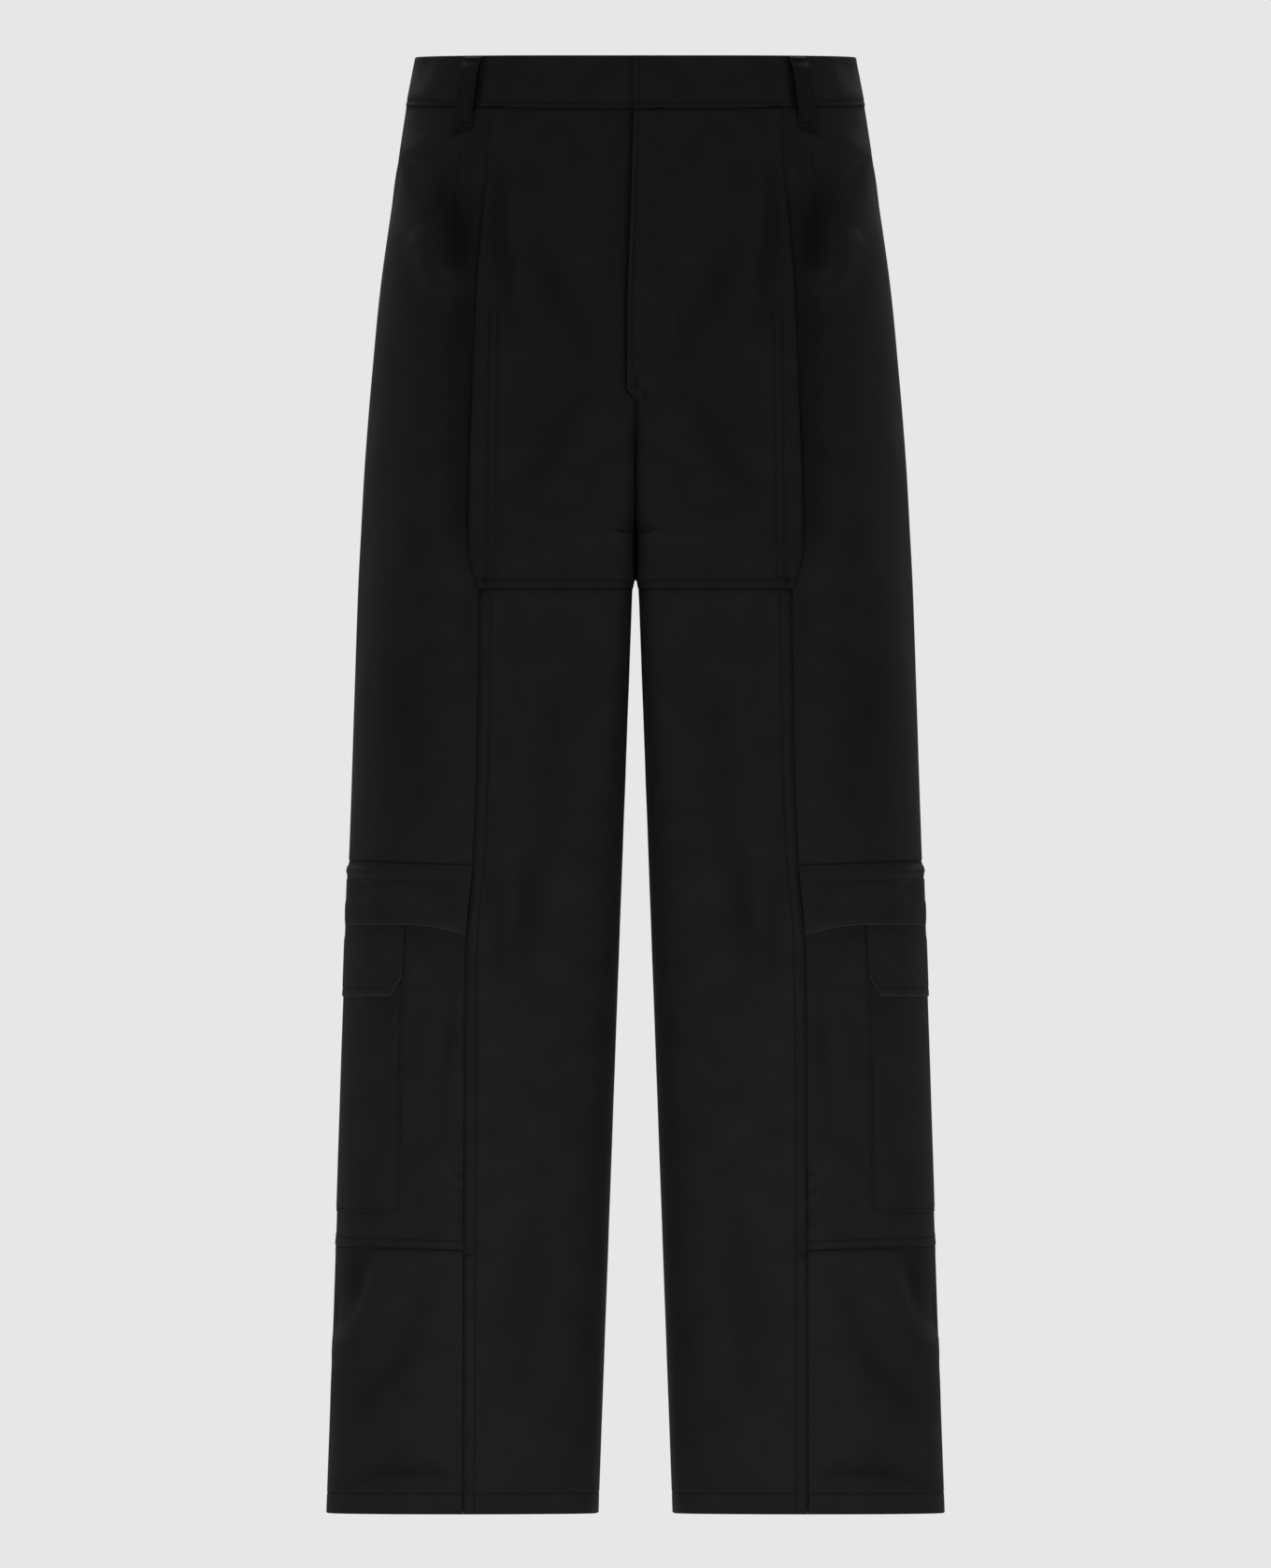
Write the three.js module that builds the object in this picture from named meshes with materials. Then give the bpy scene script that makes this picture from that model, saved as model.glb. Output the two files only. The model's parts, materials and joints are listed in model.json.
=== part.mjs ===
// Cargo trousers in near-black twill, hollow as if worn: the waist and both hems are open and the legs hang.
// Millimetres, +Z up. The origin is the centre of the waist opening at its top edge. The front faces -Y and
// the wearer's left is +X. Heights are drops below the waist edge, so z = -drop.
// Every level of a half garment is one curve that starts at the centre front seam (or the inseam, in the leg),
// goes round the outside and ends at the centre back seam (or the inseam again). A panel is a stretch of those
// curves between two upright seams, with a wall on its inner side.
import * as THREE from "three";

// Driving sizes
const LENGTH = 1080; // waist edge to hem
const CLOTH = 1.6; // wall of a panel with its seam allowances
const BAND_CLOTH = 2.4; // waistband, two layers and their stiffening
const BAND_LIFT = 0.6; // the waistband stands this far proud of the panels
const THIN_CLOTH = 1.2; // patch pocket, pocket welt
const FLAP_CLOTH = 1.5;
const GAP = 0.3; // between pieces that touch
const HALF_GAP = GAP / 2;
const HEM_DEPTH = 15;
const HEM_CLOTH = 3; // the turned hem is two layers
const HEM_STEP = 1.2; // the turned edge inside the leg

// The form, one row a level: side = half width, front and back = foremost and rearmost y, wide = y of the
// widest point, fore and aft = x of the foremost and rearmost points.
const FORM = [
  { drop: 0, side: 162.9, front: -103, back: 111, wide: 6, fore: 58, aft: 56 },
  { drop: 40, side: 170.4, front: -108, back: 117, wide: 6, fore: 62, aft: 62 },
  { drop: 100, side: 179.2, front: -114, back: 129, wide: 7, fore: 70, aft: 74 },
  { drop: 170, side: 189.1, front: -118, back: 138, wide: 7, fore: 78, aft: 86 },
  { drop: 240, side: 195.9, front: -120, back: 139, wide: 6, fore: 88, aft: 96 },
  { drop: 300, side: 200.7, front: -120, back: 133, wide: 4, fore: 96, aft: 102 },
  { drop: 352, side: 203.6, front: -118, back: 123, wide: 2, fore: 102, aft: 105 },
  { drop: 397, side: 205.9, front: -116, back: 114, wide: 0, fore: 105, aft: 107 },
  { drop: 560, side: 211.3, front: -109, back: 98, wide: -3, fore: 111, aft: 112 },
  { drop: 720, side: 217.0, front: -102, back: 88, wide: -4, fore: 116, aft: 117 },
  { drop: 900, side: 222.9, front: -95, back: 81, wide: -5, fore: 122, aft: 123 },
  { drop: 1080, side: 229.4, front: -89, back: 76, wide: -6, fore: 128, aft: 128 },
];

// How square each quarter of a level is: 0.552 is an ellipse, 1 a box.
const FULLNESS = [
  { drop: 0, inner: 0.6, front: 0.6, back: 0.58 },
  { drop: 250, inner: 0.6, front: 0.64, back: 0.6 },
  { drop: 397, inner: 0.7, front: 0.66, back: 0.6 },
  { drop: 1080, inner: 0.6, front: 0.62, back: 0.58 },
];

// The front turns in to the seam round a corner: how far the corner reaches sideways from the seam, and how far
// its outer end lies behind the foremost line. It is tight at the crotch and wide at the hem.
const CORNER = [
  { drop: 0, reach: 11, sag: 3 },
  { drop: 397, reach: 12, sag: 4 },
  { drop: 560, reach: 26, sag: 9 },
  { drop: 720, reach: 36, sag: 12 },
  { drop: 1080, reach: 44, sag: 14 },
];
const CORNER_SOFT = 0.5; // length of the corner's pulls where it is shallow
const CORNER_TIGHT = 0.84; // the same where it is deep
const FACE_PULL = 0.36;
const TURN_DEPTH = 8; // seam depth over which the front turns in
const SAG_DEPTH = 20; // seam depth over which the corner gets its sag

// The rise seam leaves the centre front and back and meets the inseam under the crotch.
const RISE_START = 250;
const RISE_END = 352;
const CROTCH_Y = 10;
const HEM_INSEAM_Y = -4;
const TURN_POWER = 0.75; // how early the back turns in towards the rise seam

// The inner edge of the leg: the thighs touch down to the slot, then a straight line to the hem.
const TOUCH_X = HALF_GAP;
const SLOT_TOP = 388;
const SLOT_END = 397;
const SLOT_X = 2.4;
const HEM_INNER_X = 27.4;

// Upright seams and edges on the front half: x at each drop.
const FRONT_SEAM = [
  { drop: 40, x: 105.0 },
  { drop: 81, x: 106.8 },
  { drop: 131, x: 109.9 },
  { drop: 170, x: 112.0 },
  { drop: 270, x: 113.6 },
  { drop: 395, x: 115.2 },
  { drop: 526, x: 117.2 },
  { drop: 598, x: 120.2 },
  { drop: 646, x: 124.8 },
  { drop: 756, x: 126.4 },
  { drop: 1080, x: 127.6 },
];
const PLEAT_EDGE = [
  { drop: 40, x: 106.8 },
  { drop: 81, x: 108.8 },
  { drop: 128, x: 113.0 },
  { drop: 170, x: 116.5 },
  { drop: 262, x: 120.6 },
  { drop: 316, x: 122.7 },
  { drop: 370, x: 122.7 },
  { drop: 391, x: 117.4 },
];
const PLEAT_RAMP = 4; // the front panel rises over the seam along this width
const PLEAT_LIFT = CLOTH + GAP + 0.25;
// The fly's free edge, past the centre towards the wearer's right, and its end at the bar tack.
const FLY_EDGE = [
  { drop: 40, x: -1.4 },
  { drop: 114, x: -3.5 },
  { drop: 186, x: -6.2 },
  { drop: 247, x: -6.2 },
  { drop: 256, x: HALF_GAP },
];
const FLY_END = 240;
const FLY_CLOSE = 243.5;
const FLY_LEVEL = 247;
const FLY_BLEND = 256;
const FLY_UNDERLAP = 8;
const UNDER_LIFT = -CLOTH - GAP - 0.2;
// The back seam of the side panel: x on the back half.
const BACK_SEAM = [
  { drop: 40, x: 98 },
  { drop: 120, x: 116 },
  { drop: 240, x: 132 },
  { drop: 395, x: 143 },
  { drop: 600, x: 152 },
  { drop: 880, x: 161 },
  { drop: 1080, x: 166 },
];
const PATCH_SHARE = 0.51; // the patch's front edge, from the front seam (0) to the outline (1)

// Level seams and edges, as drops
const BAND_DROP = 40.2; // at the centre; the seam rises a little towards the sides
const BAND_RISE = 3.5;
const FRONT_JOIN = 395;
const CARGO_TOP = 596.2;
const CARGO_TOP_FALL = 3.4;
const FLAP_BOTTOM = 643.4;
const FLAP_FALL = 7.7;
const FLAP_FALL_X = 173; // the flap's lower edge falls from here to the front seam
const CARGO_BOTTOM = 881.8;
const CARGO_BOTTOM_FALL = 2.8;
const POCKET_MOUTH = 612;
const PATCH_TOP = 656;
const PATCH_BOTTOM = 856;
const PATCH_FLAP_TOP = 640;
const PATCH_FLAP_BOTTOM = 696.7;
const PATCH_FLAP_CUT = 14.6; // height of the cut corner
const WELT_TOP = 58;
const WELT_BOTTOM = 165;

// Belt loops
const LOOP_WIDTH = 15;
const LOOP_CLOTH = 1.8;
const LOOP_STAND = 3.4; // clear space behind a loop
const LOOP_LENGTH = 52.7;

// Small sums on numbers and tables
const clamp = (value, low, high) => Math.min(high, Math.max(low, value));
const mix = (from, to, share) => from + (to - from) * share;

// A smooth curve through one column of a table, by drop.
function smoothColumn(table, key) {
  const slope = (i) => {
    const low = table[Math.max(0, i - 1)];
    const high = table[Math.min(table.length - 1, i + 1)];
    return (high[key] - low[key]) / (high.drop - low.drop);
  };
  return (drop) => {
    const d = clamp(drop, table[0].drop, table[table.length - 1].drop);
    let i = 0;
    while (i < table.length - 2 && table[i + 1].drop < d) i += 1;
    const span = table[i + 1].drop - table[i].drop;
    const t = (d - table[i].drop) / span;
    const startPull = t * (1 - t) * (1 - t) * slope(i) * span;
    const endPull = t * t * (t - 1) * slope(i + 1) * span;
    const ease = t * t * (3 - 2 * t);
    return mix(table[i][key], table[i + 1][key], ease) + startPull + endPull;
  };
}

// Straight lines through one column of a table, by drop.
function straightColumn(table, key) {
  return (drop) => {
    const d = clamp(drop, table[0].drop, table[table.length - 1].drop);
    let i = 0;
    while (i < table.length - 2 && table[i + 1].drop < d) i += 1;
    return mix(table[i][key], table[i + 1][key], (d - table[i].drop) / (table[i + 1].drop - table[i].drop));
  };
}

const form = {};
for (const key of ["side", "front", "back", "wide", "fore", "aft"]) form[key] = smoothColumn(FORM, key);
const fullness = {};
for (const key of ["inner", "front", "back"]) fullness[key] = smoothColumn(FULLNESS, key);
const cornerReach = smoothColumn(CORNER, "reach");
const cornerSag = smoothColumn(CORNER, "sag");
const frontSeamX = smoothColumn(FRONT_SEAM, "x");
const pleatEdgeX = smoothColumn(PLEAT_EDGE, "x");
const backSeamX = smoothColumn(BACK_SEAM, "x");
const flyEdgeX = straightColumn(FLY_EDGE, "x");

function innerX(drop) {
  if (drop <= SLOT_TOP) return TOUCH_X;
  const line = SLOT_X + ((HEM_INNER_X - SLOT_X) * (drop - SLOT_END)) / (LENGTH - SLOT_END);
  if (drop >= SLOT_END) return line;
  const t = (drop - SLOT_TOP) / (SLOT_END - SLOT_TOP);
  return mix(TOUCH_X, line, Math.sqrt(1 - (1 - t) ** 2));
}

// One stretch of a level, from point a (leaving along direction u) to point b (arriving along direction v).
function stretch(a, u, reachA, b, v, reachB) {
  return new THREE.CubicBezierCurve(
    new THREE.Vector2(a.x, a.y),
    new THREE.Vector2(a.x + u.x * reachA, a.y + u.y * reachA),
    new THREE.Vector2(b.x - v.x * reachB, b.y - v.y * reachB),
    new THREE.Vector2(b.x, b.y),
  );
}

const STRETCH_STEPS = 40;
const levels = new Map();

// The level at a drop: its points in order, the length along it at each, and where the widest point is.
function level(drop) {
  const kept = levels.get(drop);
  if (kept) return kept;
  const sweep = clamp((drop - RISE_START) / (RISE_END - RISE_START), 0, 1);
  const tuck = 1 - Math.sqrt(1 - sweep * sweep);
  const turn = (Math.PI / 2) * tuck ** TURN_POWER;
  const below = clamp((drop - RISE_END) / (LENGTH - RISE_END), 0, 1);
  const seamY = mix(CROTCH_Y, HEM_INSEAM_Y, below);
  const x = innerX(drop);
  const start = { x, y: mix(form.front(drop), seamY, tuck) };
  const end = { x, y: mix(form.back(drop), seamY, tuck) };
  const foremost = { x: form.fore(drop), y: form.front(drop) };
  const widest = { x: form.side(drop), y: form.wide(drop) };
  const rearmost = { x: form.aft(drop), y: form.back(drop) };
  const inner = fullness.inner(drop);
  const front = fullness.front(drop);
  const back = fullness.back(drop);
  const depth = start.y - foremost.y;
  const frontTurn = (Math.PI / 2) * (1 - Math.exp(-depth / TURN_DEPTH));
  const sag = cornerSag(drop) * (1 - Math.exp(-depth / SAG_DEPTH));
  const corner = { x: x + cornerReach(drop), y: foremost.y + sag };
  const faceRun = foremost.x - corner.x;
  const slope = Math.atan2(2 * sag, faceRun);
  const face = { x: Math.cos(slope), y: -Math.sin(slope) };
  const pull = mix(CORNER_SOFT, CORNER_TIGHT, Math.sin(frontTurn));
  const away = { x: Math.cos(frontTurn), y: -Math.sin(frontTurn) };
  const home = { x: -Math.cos(turn), y: -Math.sin(turn) };
  const out = { x: 1, y: 0 };
  const rearward = { x: 0, y: 1 };
  const inward = { x: -1, y: 0 };
  const turnIn = corner.y + (corner.x - x) * Math.tan(slope) * Math.sin(frontTurn);
  const startReach = pull * ((corner.x - x) * away.x + (turnIn - start.y) * away.y);
  const endReach = inner * ((rearmost.x - x) * Math.cos(turn) + (rearmost.y - end.y) * Math.sin(turn));
  const stretches = [
    stretch(start, away, startReach, corner, face, pull * (corner.x - x)),
    stretch(corner, face, FACE_PULL * faceRun, foremost, out, FACE_PULL * faceRun),
    stretch(foremost, out, front * (widest.x - foremost.x), widest, rearward, front * (widest.y - foremost.y)),
    stretch(widest, rearward, back * (rearmost.y - widest.y), rearmost, inward, back * (widest.x - rearmost.x)),
    stretch(rearmost, inward, inner * (rearmost.x - x), end, home, endReach),
  ];
  const points = [stretches[0].getPoint(0)];
  for (const curve of stretches) {
    for (let i = 1; i <= STRETCH_STEPS; i += 1) points.push(curve.getPoint(i / STRETCH_STEPS));
  }
  const along = [0];
  for (let i = 1; i < points.length; i += 1) along.push(along[i - 1] + points[i].distanceTo(points[i - 1]));
  const total = along[along.length - 1];
  const corners = { corner: along[STRETCH_STEPS], side: along[3 * STRETCH_STEPS] };
  const made = { points, along, away, home, total, ...corners };
  levels.set(drop, made);
  return made;
}

// The point of a level at a length along it; past either end the line runs straight on.
function pointOn(made, s) {
  const { points, along, away, home, total } = made;
  if (s < 0) return new THREE.Vector2(points[0].x + away.x * s, points[0].y + away.y * s);
  if (s > total) {
    const last = points[points.length - 1];
    return new THREE.Vector2(last.x + home.x * (s - total), last.y + home.y * (s - total));
  }
  let low = 0;
  let high = along.length - 1;
  while (high - low > 1) {
    const middle = (low + high) >> 1;
    if (along[middle] <= s) low = middle;
    else high = middle;
  }
  return points[low].clone().lerp(points[high], (s - along[low]) / (along[high] - along[low]));
}

// The length along a level where the front half (or the back half) has a given x.
function lengthAtX(drop, x, isBack) {
  const made = level(drop);
  let low = isBack ? made.total : 0;
  let high = made.side;
  for (let i = 0; i < 40; i += 1) {
    const middle = (low + high) / 2;
    if (pointOn(made, middle).x < x) low = middle;
    else high = middle;
  }
  return (low + high) / 2;
}

// Key lengths of the half garment, by drop: the upright lines that the panels share.
const startLine = (drop) => (drop >= RISE_END ? HALF_GAP : 0);
const endLine = (drop) => level(drop).total - (drop >= RISE_END ? HALF_GAP : 0);
const frontSeam = (drop) => lengthAtX(drop, frontSeamX(drop), false);
const pleatEdge = (drop) => lengthAtX(drop, pleatEdgeX(drop), false);
const patchFront = (drop) => lengthAtX(drop, mix(frontSeamX(drop), form.side(drop), PATCH_SHARE), false);
const sideLine = (drop) => level(drop).side;
const patchBack = (drop) => 2 * sideLine(drop) - patchFront(drop);
const backSeam = (drop) => lengthAtX(drop, backSeamX(drop), true);

// The largest folds, one row each: a soft ridge (height above 0) or trough along a line between two places on
// the front, the back or the side. Across is x, or on the side the length from the outline, rearward.
const FOLDS = [
  { face: "front", across0: 128, drop0: 90, across1: 135, drop1: 370, width: 17, height: -2.6 },
  { face: "front", across0: 143, drop0: 110, across1: 141, drop1: 165, width: 20, height: -2.8 },
  { face: "front", across0: 152, drop0: 178, across1: 160, drop1: 215, width: 22, height: 2.2 },
  { face: "front", across0: 30, drop0: 285, across1: 72, drop1: 372, width: 20, height: 2.4 },
  { face: "front", across0: 80, drop0: 470, across1: 86, drop1: 700, width: 24, height: -2.4 },
  { face: "front", across0: 60, drop0: 880, across1: 96, drop1: 1010, width: 26, height: -1.8 },
  { face: "side", across0: -30, drop0: 892, across1: 34, drop1: 965, width: 20, height: -3.2 },
  { face: "side", across0: -62, drop0: 925, across1: -10, drop1: 1010, width: 22, height: 2.4 },
  { face: "side", across0: -70, drop0: 300, across1: -40, drop1: 470, width: 26, height: -2.0 },
  { face: "side", across0: 45, drop0: 215, across1: 70, drop1: 420, width: 26, height: -2.6 },
  { face: "back", across0: 40, drop0: 335, across1: 120, drop1: 290, width: 22, height: -3.4 },
  { face: "back", across0: 46, drop0: 400, across1: 124, drop1: 372, width: 24, height: -2.6 },
  { face: "back", across0: 70, drop0: 585, across1: 140, drop1: 640, width: 26, height: -3.0 },
  { face: "back", across0: 90, drop0: 700, across1: 150, drop1: 668, width: 26, height: -2.4 },
  { face: "back", across0: 100, drop0: 820, across1: 112, drop1: 1000, width: 28, height: -2.2 },
];

function foldRelief(drop, s) {
  const made = level(drop);
  const p = pointOn(made, s);
  let sum = 0;
  for (const fold of FOLDS) {
    const onFace = fold.face === "side" || (fold.face === "front") === s <= made.side;
    if (!onFace) continue;
    const across = fold.face === "side" ? s - made.side : p.x;
    const run = new THREE.Vector2(fold.across1 - fold.across0, fold.drop1 - fold.drop0);
    const from = new THREE.Vector2(across - fold.across0, drop - fold.drop0);
    const t = clamp(from.dot(run) / run.lengthSq(), 0, 1);
    const away = from.sub(run.multiplyScalar(t)).length() / fold.width;
    sum += fold.height * Math.exp(-away * away);
  }
  // The folds die out at the outline, at the rise seam and at the waistband.
  const outline = clamp(Math.abs(s - made.side) / 30, 0, 1);
  const ends = clamp(Math.min(s, made.total - s) / 25, 0, 1);
  const waist = clamp((drop - BAND_DROP - 8) / 40, 0, 1);
  const hem = clamp((LENGTH - HEM_DEPTH - drop) / 40, 0, 1);
  return sum * outline * ends * waist * hem;
}

// A place on the garment: the level's point moved out by a lift along the level's own outward direction.
function place(drop, s, lift) {
  const made = level(drop);
  const p = pointOn(made, s);
  const ahead = pointOn(made, s + 2);
  const tangent = ahead.sub(pointOn(made, s - 2)).normalize();
  const total = lift + foldRelief(drop, s);
  return new THREE.Vector3(p.x + tangent.y * total, p.y - tangent.x * total, -drop);
}

// A wall of cloth over a grid of rows and columns. Each column gives its length along the level and its lift at
// a drop, each row gives its drop in a column, and cloth gives the wall's thickness at a drop.
function wall(rows, columns, cloth, mirrored) {
  const outer = [];
  const inner = [];
  for (const row of rows) {
    for (const column of columns) {
      const drop = row(column);
      const s = column.s(drop);
      const lift = column.lift(drop);
      outer.push(place(drop, s, lift));
      inner.push(place(drop, s, lift - cloth(drop)));
    }
  }
  const vertices = [...outer, ...inner];
  const across = columns.length;
  const down = rows.length;
  const back = outer.length;
  const faces = [];
  const quad = (a, b, c, d) => faces.push([a, b, c], [a, c, d]);
  for (let i = 0; i < down - 1; i += 1) {
    for (let j = 0; j < across - 1; j += 1) {
      const a = i * across + j;
      quad(a, a + across, a + across + 1, a + 1);
      quad(back + a, back + a + 1, back + a + across + 1, back + a + across);
    }
  }
  for (let j = 0; j < across - 1; j += 1) {
    const top = j;
    const bottom = (down - 1) * across + j;
    quad(top, top + 1, back + top + 1, back + top);
    quad(bottom + 1, bottom, back + bottom, back + bottom + 1);
  }
  for (let i = 0; i < down - 1; i += 1) {
    const first = i * across;
    const last = first + across - 1;
    quad(first + across, first, back + first, back + first + across);
    quad(last, last + across, back + last + across, back + last);
  }
  const geometry = new THREE.BufferGeometry();
  const numbers = vertices.flatMap((v) => [mirrored ? -v.x : v.x, v.y, v.z]);
  geometry.setAttribute("position", new THREE.Float32BufferAttribute(numbers, 3));
  geometry.setIndex(faces.flatMap(([a, b, c]) => (mirrored ? [a, c, b] : [a, b, c])));
  geometry.computeVertexNormals();
  return geometry;
}

// Rows
const at = (drop) => () => drop;
const ats = (...drops) => drops.map(at);
// A row whose drop depends on the x of its column, read near a nominal drop.
const sloping = (nominal, dropOfX) => (column) => {
  const x = pointOn(level(nominal), column.s(nominal)).x;
  return dropOfX(Math.abs(x));
};
const shifted = (row, by) => (column) => row(column) + by;
const bandSeam = sloping(BAND_DROP, (x) => BAND_DROP - BAND_RISE * (x / form.side(BAND_DROP)) ** 2);
const cargoTop = sloping(CARGO_TOP, (x) => {
  const share = (form.side(CARGO_TOP) - x) / (form.side(CARGO_TOP) - frontSeamX(CARGO_TOP));
  return CARGO_TOP + CARGO_TOP_FALL * share;
});
const flapBottom = sloping(FLAP_BOTTOM, (x) => {
  const share = clamp((FLAP_FALL_X - x) / (FLAP_FALL_X - frontSeamX(FLAP_BOTTOM)), 0, 1);
  return FLAP_BOTTOM + FLAP_FALL * share * share;
});
const cargoBottom = sloping(CARGO_BOTTOM, (x) => {
  const share = (form.side(CARGO_BOTTOM) - x) / (form.side(CARGO_BOTTOM) - frontSeamX(CARGO_BOTTOM));
  return CARGO_BOTTOM + CARGO_BOTTOM_FALL * share;
});

const riseDrop = (degrees) => mix(RISE_START, RISE_END, Math.sin(THREE.MathUtils.degToRad(degrees)));
const HIP_DROPS = [58, 80, 105, 135, 165, 200, FLY_END];
const RISE_DROPS = [FLY_BLEND, ...[20, 35, 48, 60, 70, 80, 90].map(riseDrop), 373];
const THIGH_DROPS = [440, 490, 543];
const POCKET_DROPS = [628, PATCH_TOP, 672, 697, 743, 790, 832, PATCH_BOTTOM];
const SHIN_DROPS = [925, 975, 1022];
const HEM_DROPS = [LENGTH - HEM_DEPTH, LENGTH - HEM_DEPTH + HEM_STEP, LENGTH];

// Columns: a length along the level and a lift, both by drop
const flush = () => 0;
const between = (from, to, share, lift = flush) => ({ s: (drop) => mix(from(drop), to(drop), share), lift });
const line = (s, offset = 0, lift = flush) => ({ s: (drop) => s(drop) + offset, lift });
const shares = (from, to, list, lift = flush) => list.map((share) => between(from, to, share, lift));

// Columns that follow the front's corner: a least length, and how far back from the corner's end, in reaches.
const CORNER_COLUMNS = [
  { least: 17, back: 1.6 },
  { least: 19, back: 0.9 },
  { least: 21, back: 0.45 },
  { least: 23, back: 0 },
];
const cornerAt = ({ least, back }) => (drop) => Math.max(least, level(drop).corner - back * cornerReach(drop));
const cornerColumns = CORNER_COLUMNS.map((place) => ({ s: cornerAt(place), lift: flush }));
const cornerEnd = cornerAt(CORNER_COLUMNS[CORNER_COLUMNS.length - 1]);
const SECOND_COLUMN = 8; // from the first column, along the level
const FACE_SHARES = [0.17, 0.34, 0.51, 0.68, 0.84];
const pleatFoot = (drop) => frontSeam(drop) - PLEAT_RAMP;
const pleatLift = () => PLEAT_LIFT;
const pleatColumns = [line(pleatFoot), line(frontSeam, -0.5, pleatLift), line(pleatEdge, 0, pleatLift)];

// The fly: the wearer's left edge lies on top, past the centre; the right runs on beneath it, then draws back
// beside it below the bar tack.
const leftFlyEdge = (drop) => (drop < FLY_BLEND ? flyEdgeX(drop) - HALF_GAP : startLine(drop));
const rightFlyStart = (drop) => {
  if (drop <= FLY_END) return -FLY_UNDERLAP;
  return drop < FLY_BLEND ? GAP - flyEdgeX(drop) : startLine(drop);
};
const flyInset = (offsetUnder, offsetBeside) => (drop) => {
  if (drop <= FLY_END) return -flyEdgeX(drop) + offsetUnder;
  return rightFlyStart(drop) + offsetBeside;
};
const underLift = (drop) => (drop <= FLY_CLOSE ? UNDER_LIFT : 0);
const halfUnderLift = (drop) => {
  if (drop <= FLY_END) return UNDER_LIFT;
  return drop <= FLY_CLOSE ? UNDER_LIFT / 2 : 0;
};
const rightFlyColumns = [
  { s: rightFlyStart, lift: underLift },
  { s: flyInset(-3, 1.2), lift: underLift },
  { s: flyInset(0.6, 4), lift: halfUnderLift },
  { s: flyInset(9, 10), lift: flush },
];
const leftFlyColumns = [
  { s: leftFlyEdge, lift: flush },
  { s: (drop) => leftFlyEdge(drop) + SECOND_COLUMN, lift: flush },
];
const frontBody = [...cornerColumns, ...shares(cornerEnd, pleatFoot, FACE_SHARES)];

// The side panel's lines: front seam, welt, patch, outline, back seam.
const SEAM_TO_PATCH = [0.35, 0.7];
const PATCH_TO_SIDE = [0, 0.17, 0.45, 0.73];
const SIDE_TO_PATCH = [0, 0.27, 0.55, 0.83];
const PATCH_TO_BACK = [0, 0.5];
function sideColumns(lift = flush) {
  return [
    line(frontSeam, HALF_GAP, lift),
    ...shares(frontSeam, patchFront, SEAM_TO_PATCH, lift),
    ...shares(patchFront, sideLine, PATCH_TO_SIDE, lift),
    ...shares(sideLine, patchBack, SIDE_TO_PATCH, lift),
    ...shares(patchBack, backSeam, PATCH_TO_BACK, lift),
    line(backSeam, -HALF_GAP, lift),
  ];
}
const backColumns = [
  line(backSeam, HALF_GAP),
  ...shares(backSeam, endLine, [0.12, 0.24, 0.37, 0.5, 0.63, 0.76, 0.89]),
  line(endLine),
];

const cloth = () => CLOTH;
const hemmed = (drop) => (drop > LENGTH - HEM_DEPTH ? HEM_CLOTH : CLOTH);

function frontUpper(isLeft) {
  const columns = isLeft ? leftFlyColumns : rightFlyColumns;
  const rows = [
    shifted(bandSeam, HALF_GAP),
    ...ats(...HIP_DROPS, FLY_CLOSE, FLY_LEVEL, ...RISE_DROPS, FRONT_JOIN - HALF_GAP),
  ];
  return wall(rows, [...columns, ...frontBody, ...pleatColumns], cloth, !isLeft);
}

function frontLower(isLeft) {
  const columns = [
    line(startLine),
    line(startLine, SECOND_COLUMN),
    ...cornerColumns,
    ...shares(cornerEnd, frontSeam, FACE_SHARES),
    line(frontSeam, -HALF_GAP),
  ];
  const rows = ats(FRONT_JOIN + HALF_GAP, SLOT_END + 3, ...THIGH_DROPS, CARGO_TOP, ...POCKET_DROPS.slice(1));
  rows.push(...ats(CARGO_BOTTOM, ...SHIN_DROPS, ...HEM_DROPS));
  return wall(rows, columns, hemmed, !isLeft);
}

function back(isLeft) {
  const rows = [shifted(bandSeam, HALF_GAP), ...ats(...HIP_DROPS, ...RISE_DROPS, SLOT_END, ...THIGH_DROPS)];
  rows.push(...ats(CARGO_TOP, ...POCKET_DROPS.slice(1), CARGO_BOTTOM, ...SHIN_DROPS, ...HEM_DROPS));
  return wall(rows, backColumns, hemmed, !isLeft);
}

function sideUpper(isLeft) {
  const rows = [
    shifted(bandSeam, HALF_GAP),
    ...ats(...HIP_DROPS, ...RISE_DROPS, FRONT_JOIN, ...THIGH_DROPS),
    shifted(cargoTop, -HALF_GAP),
  ];
  return wall(rows, sideColumns(), cloth, !isLeft);
}

function sideLower(isLeft) {
  const rows = [shifted(cargoBottom, HALF_GAP), ...ats(...SHIN_DROPS, ...HEM_DROPS)];
  return wall(rows, sideColumns(), hemmed, !isLeft);
}

// The cargo pocket lies in the plane of the side panel, and its backing lies behind it.
const BACKING_LIFT = -CLOTH - GAP;
function cargoBacking(isLeft) {
  const rows = [shifted(cargoTop, HALF_GAP), ...ats(...POCKET_DROPS), shifted(cargoBottom, -HALF_GAP)];
  return wall(rows, sideColumns(() => BACKING_LIFT), cloth, !isLeft);
}

function cargoPocket(isLeft) {
  const rows = [...ats(POCKET_MOUTH, ...POCKET_DROPS), shifted(cargoBottom, -HALF_GAP)];
  return wall(rows, sideColumns(), cloth, !isLeft);
}

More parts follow.
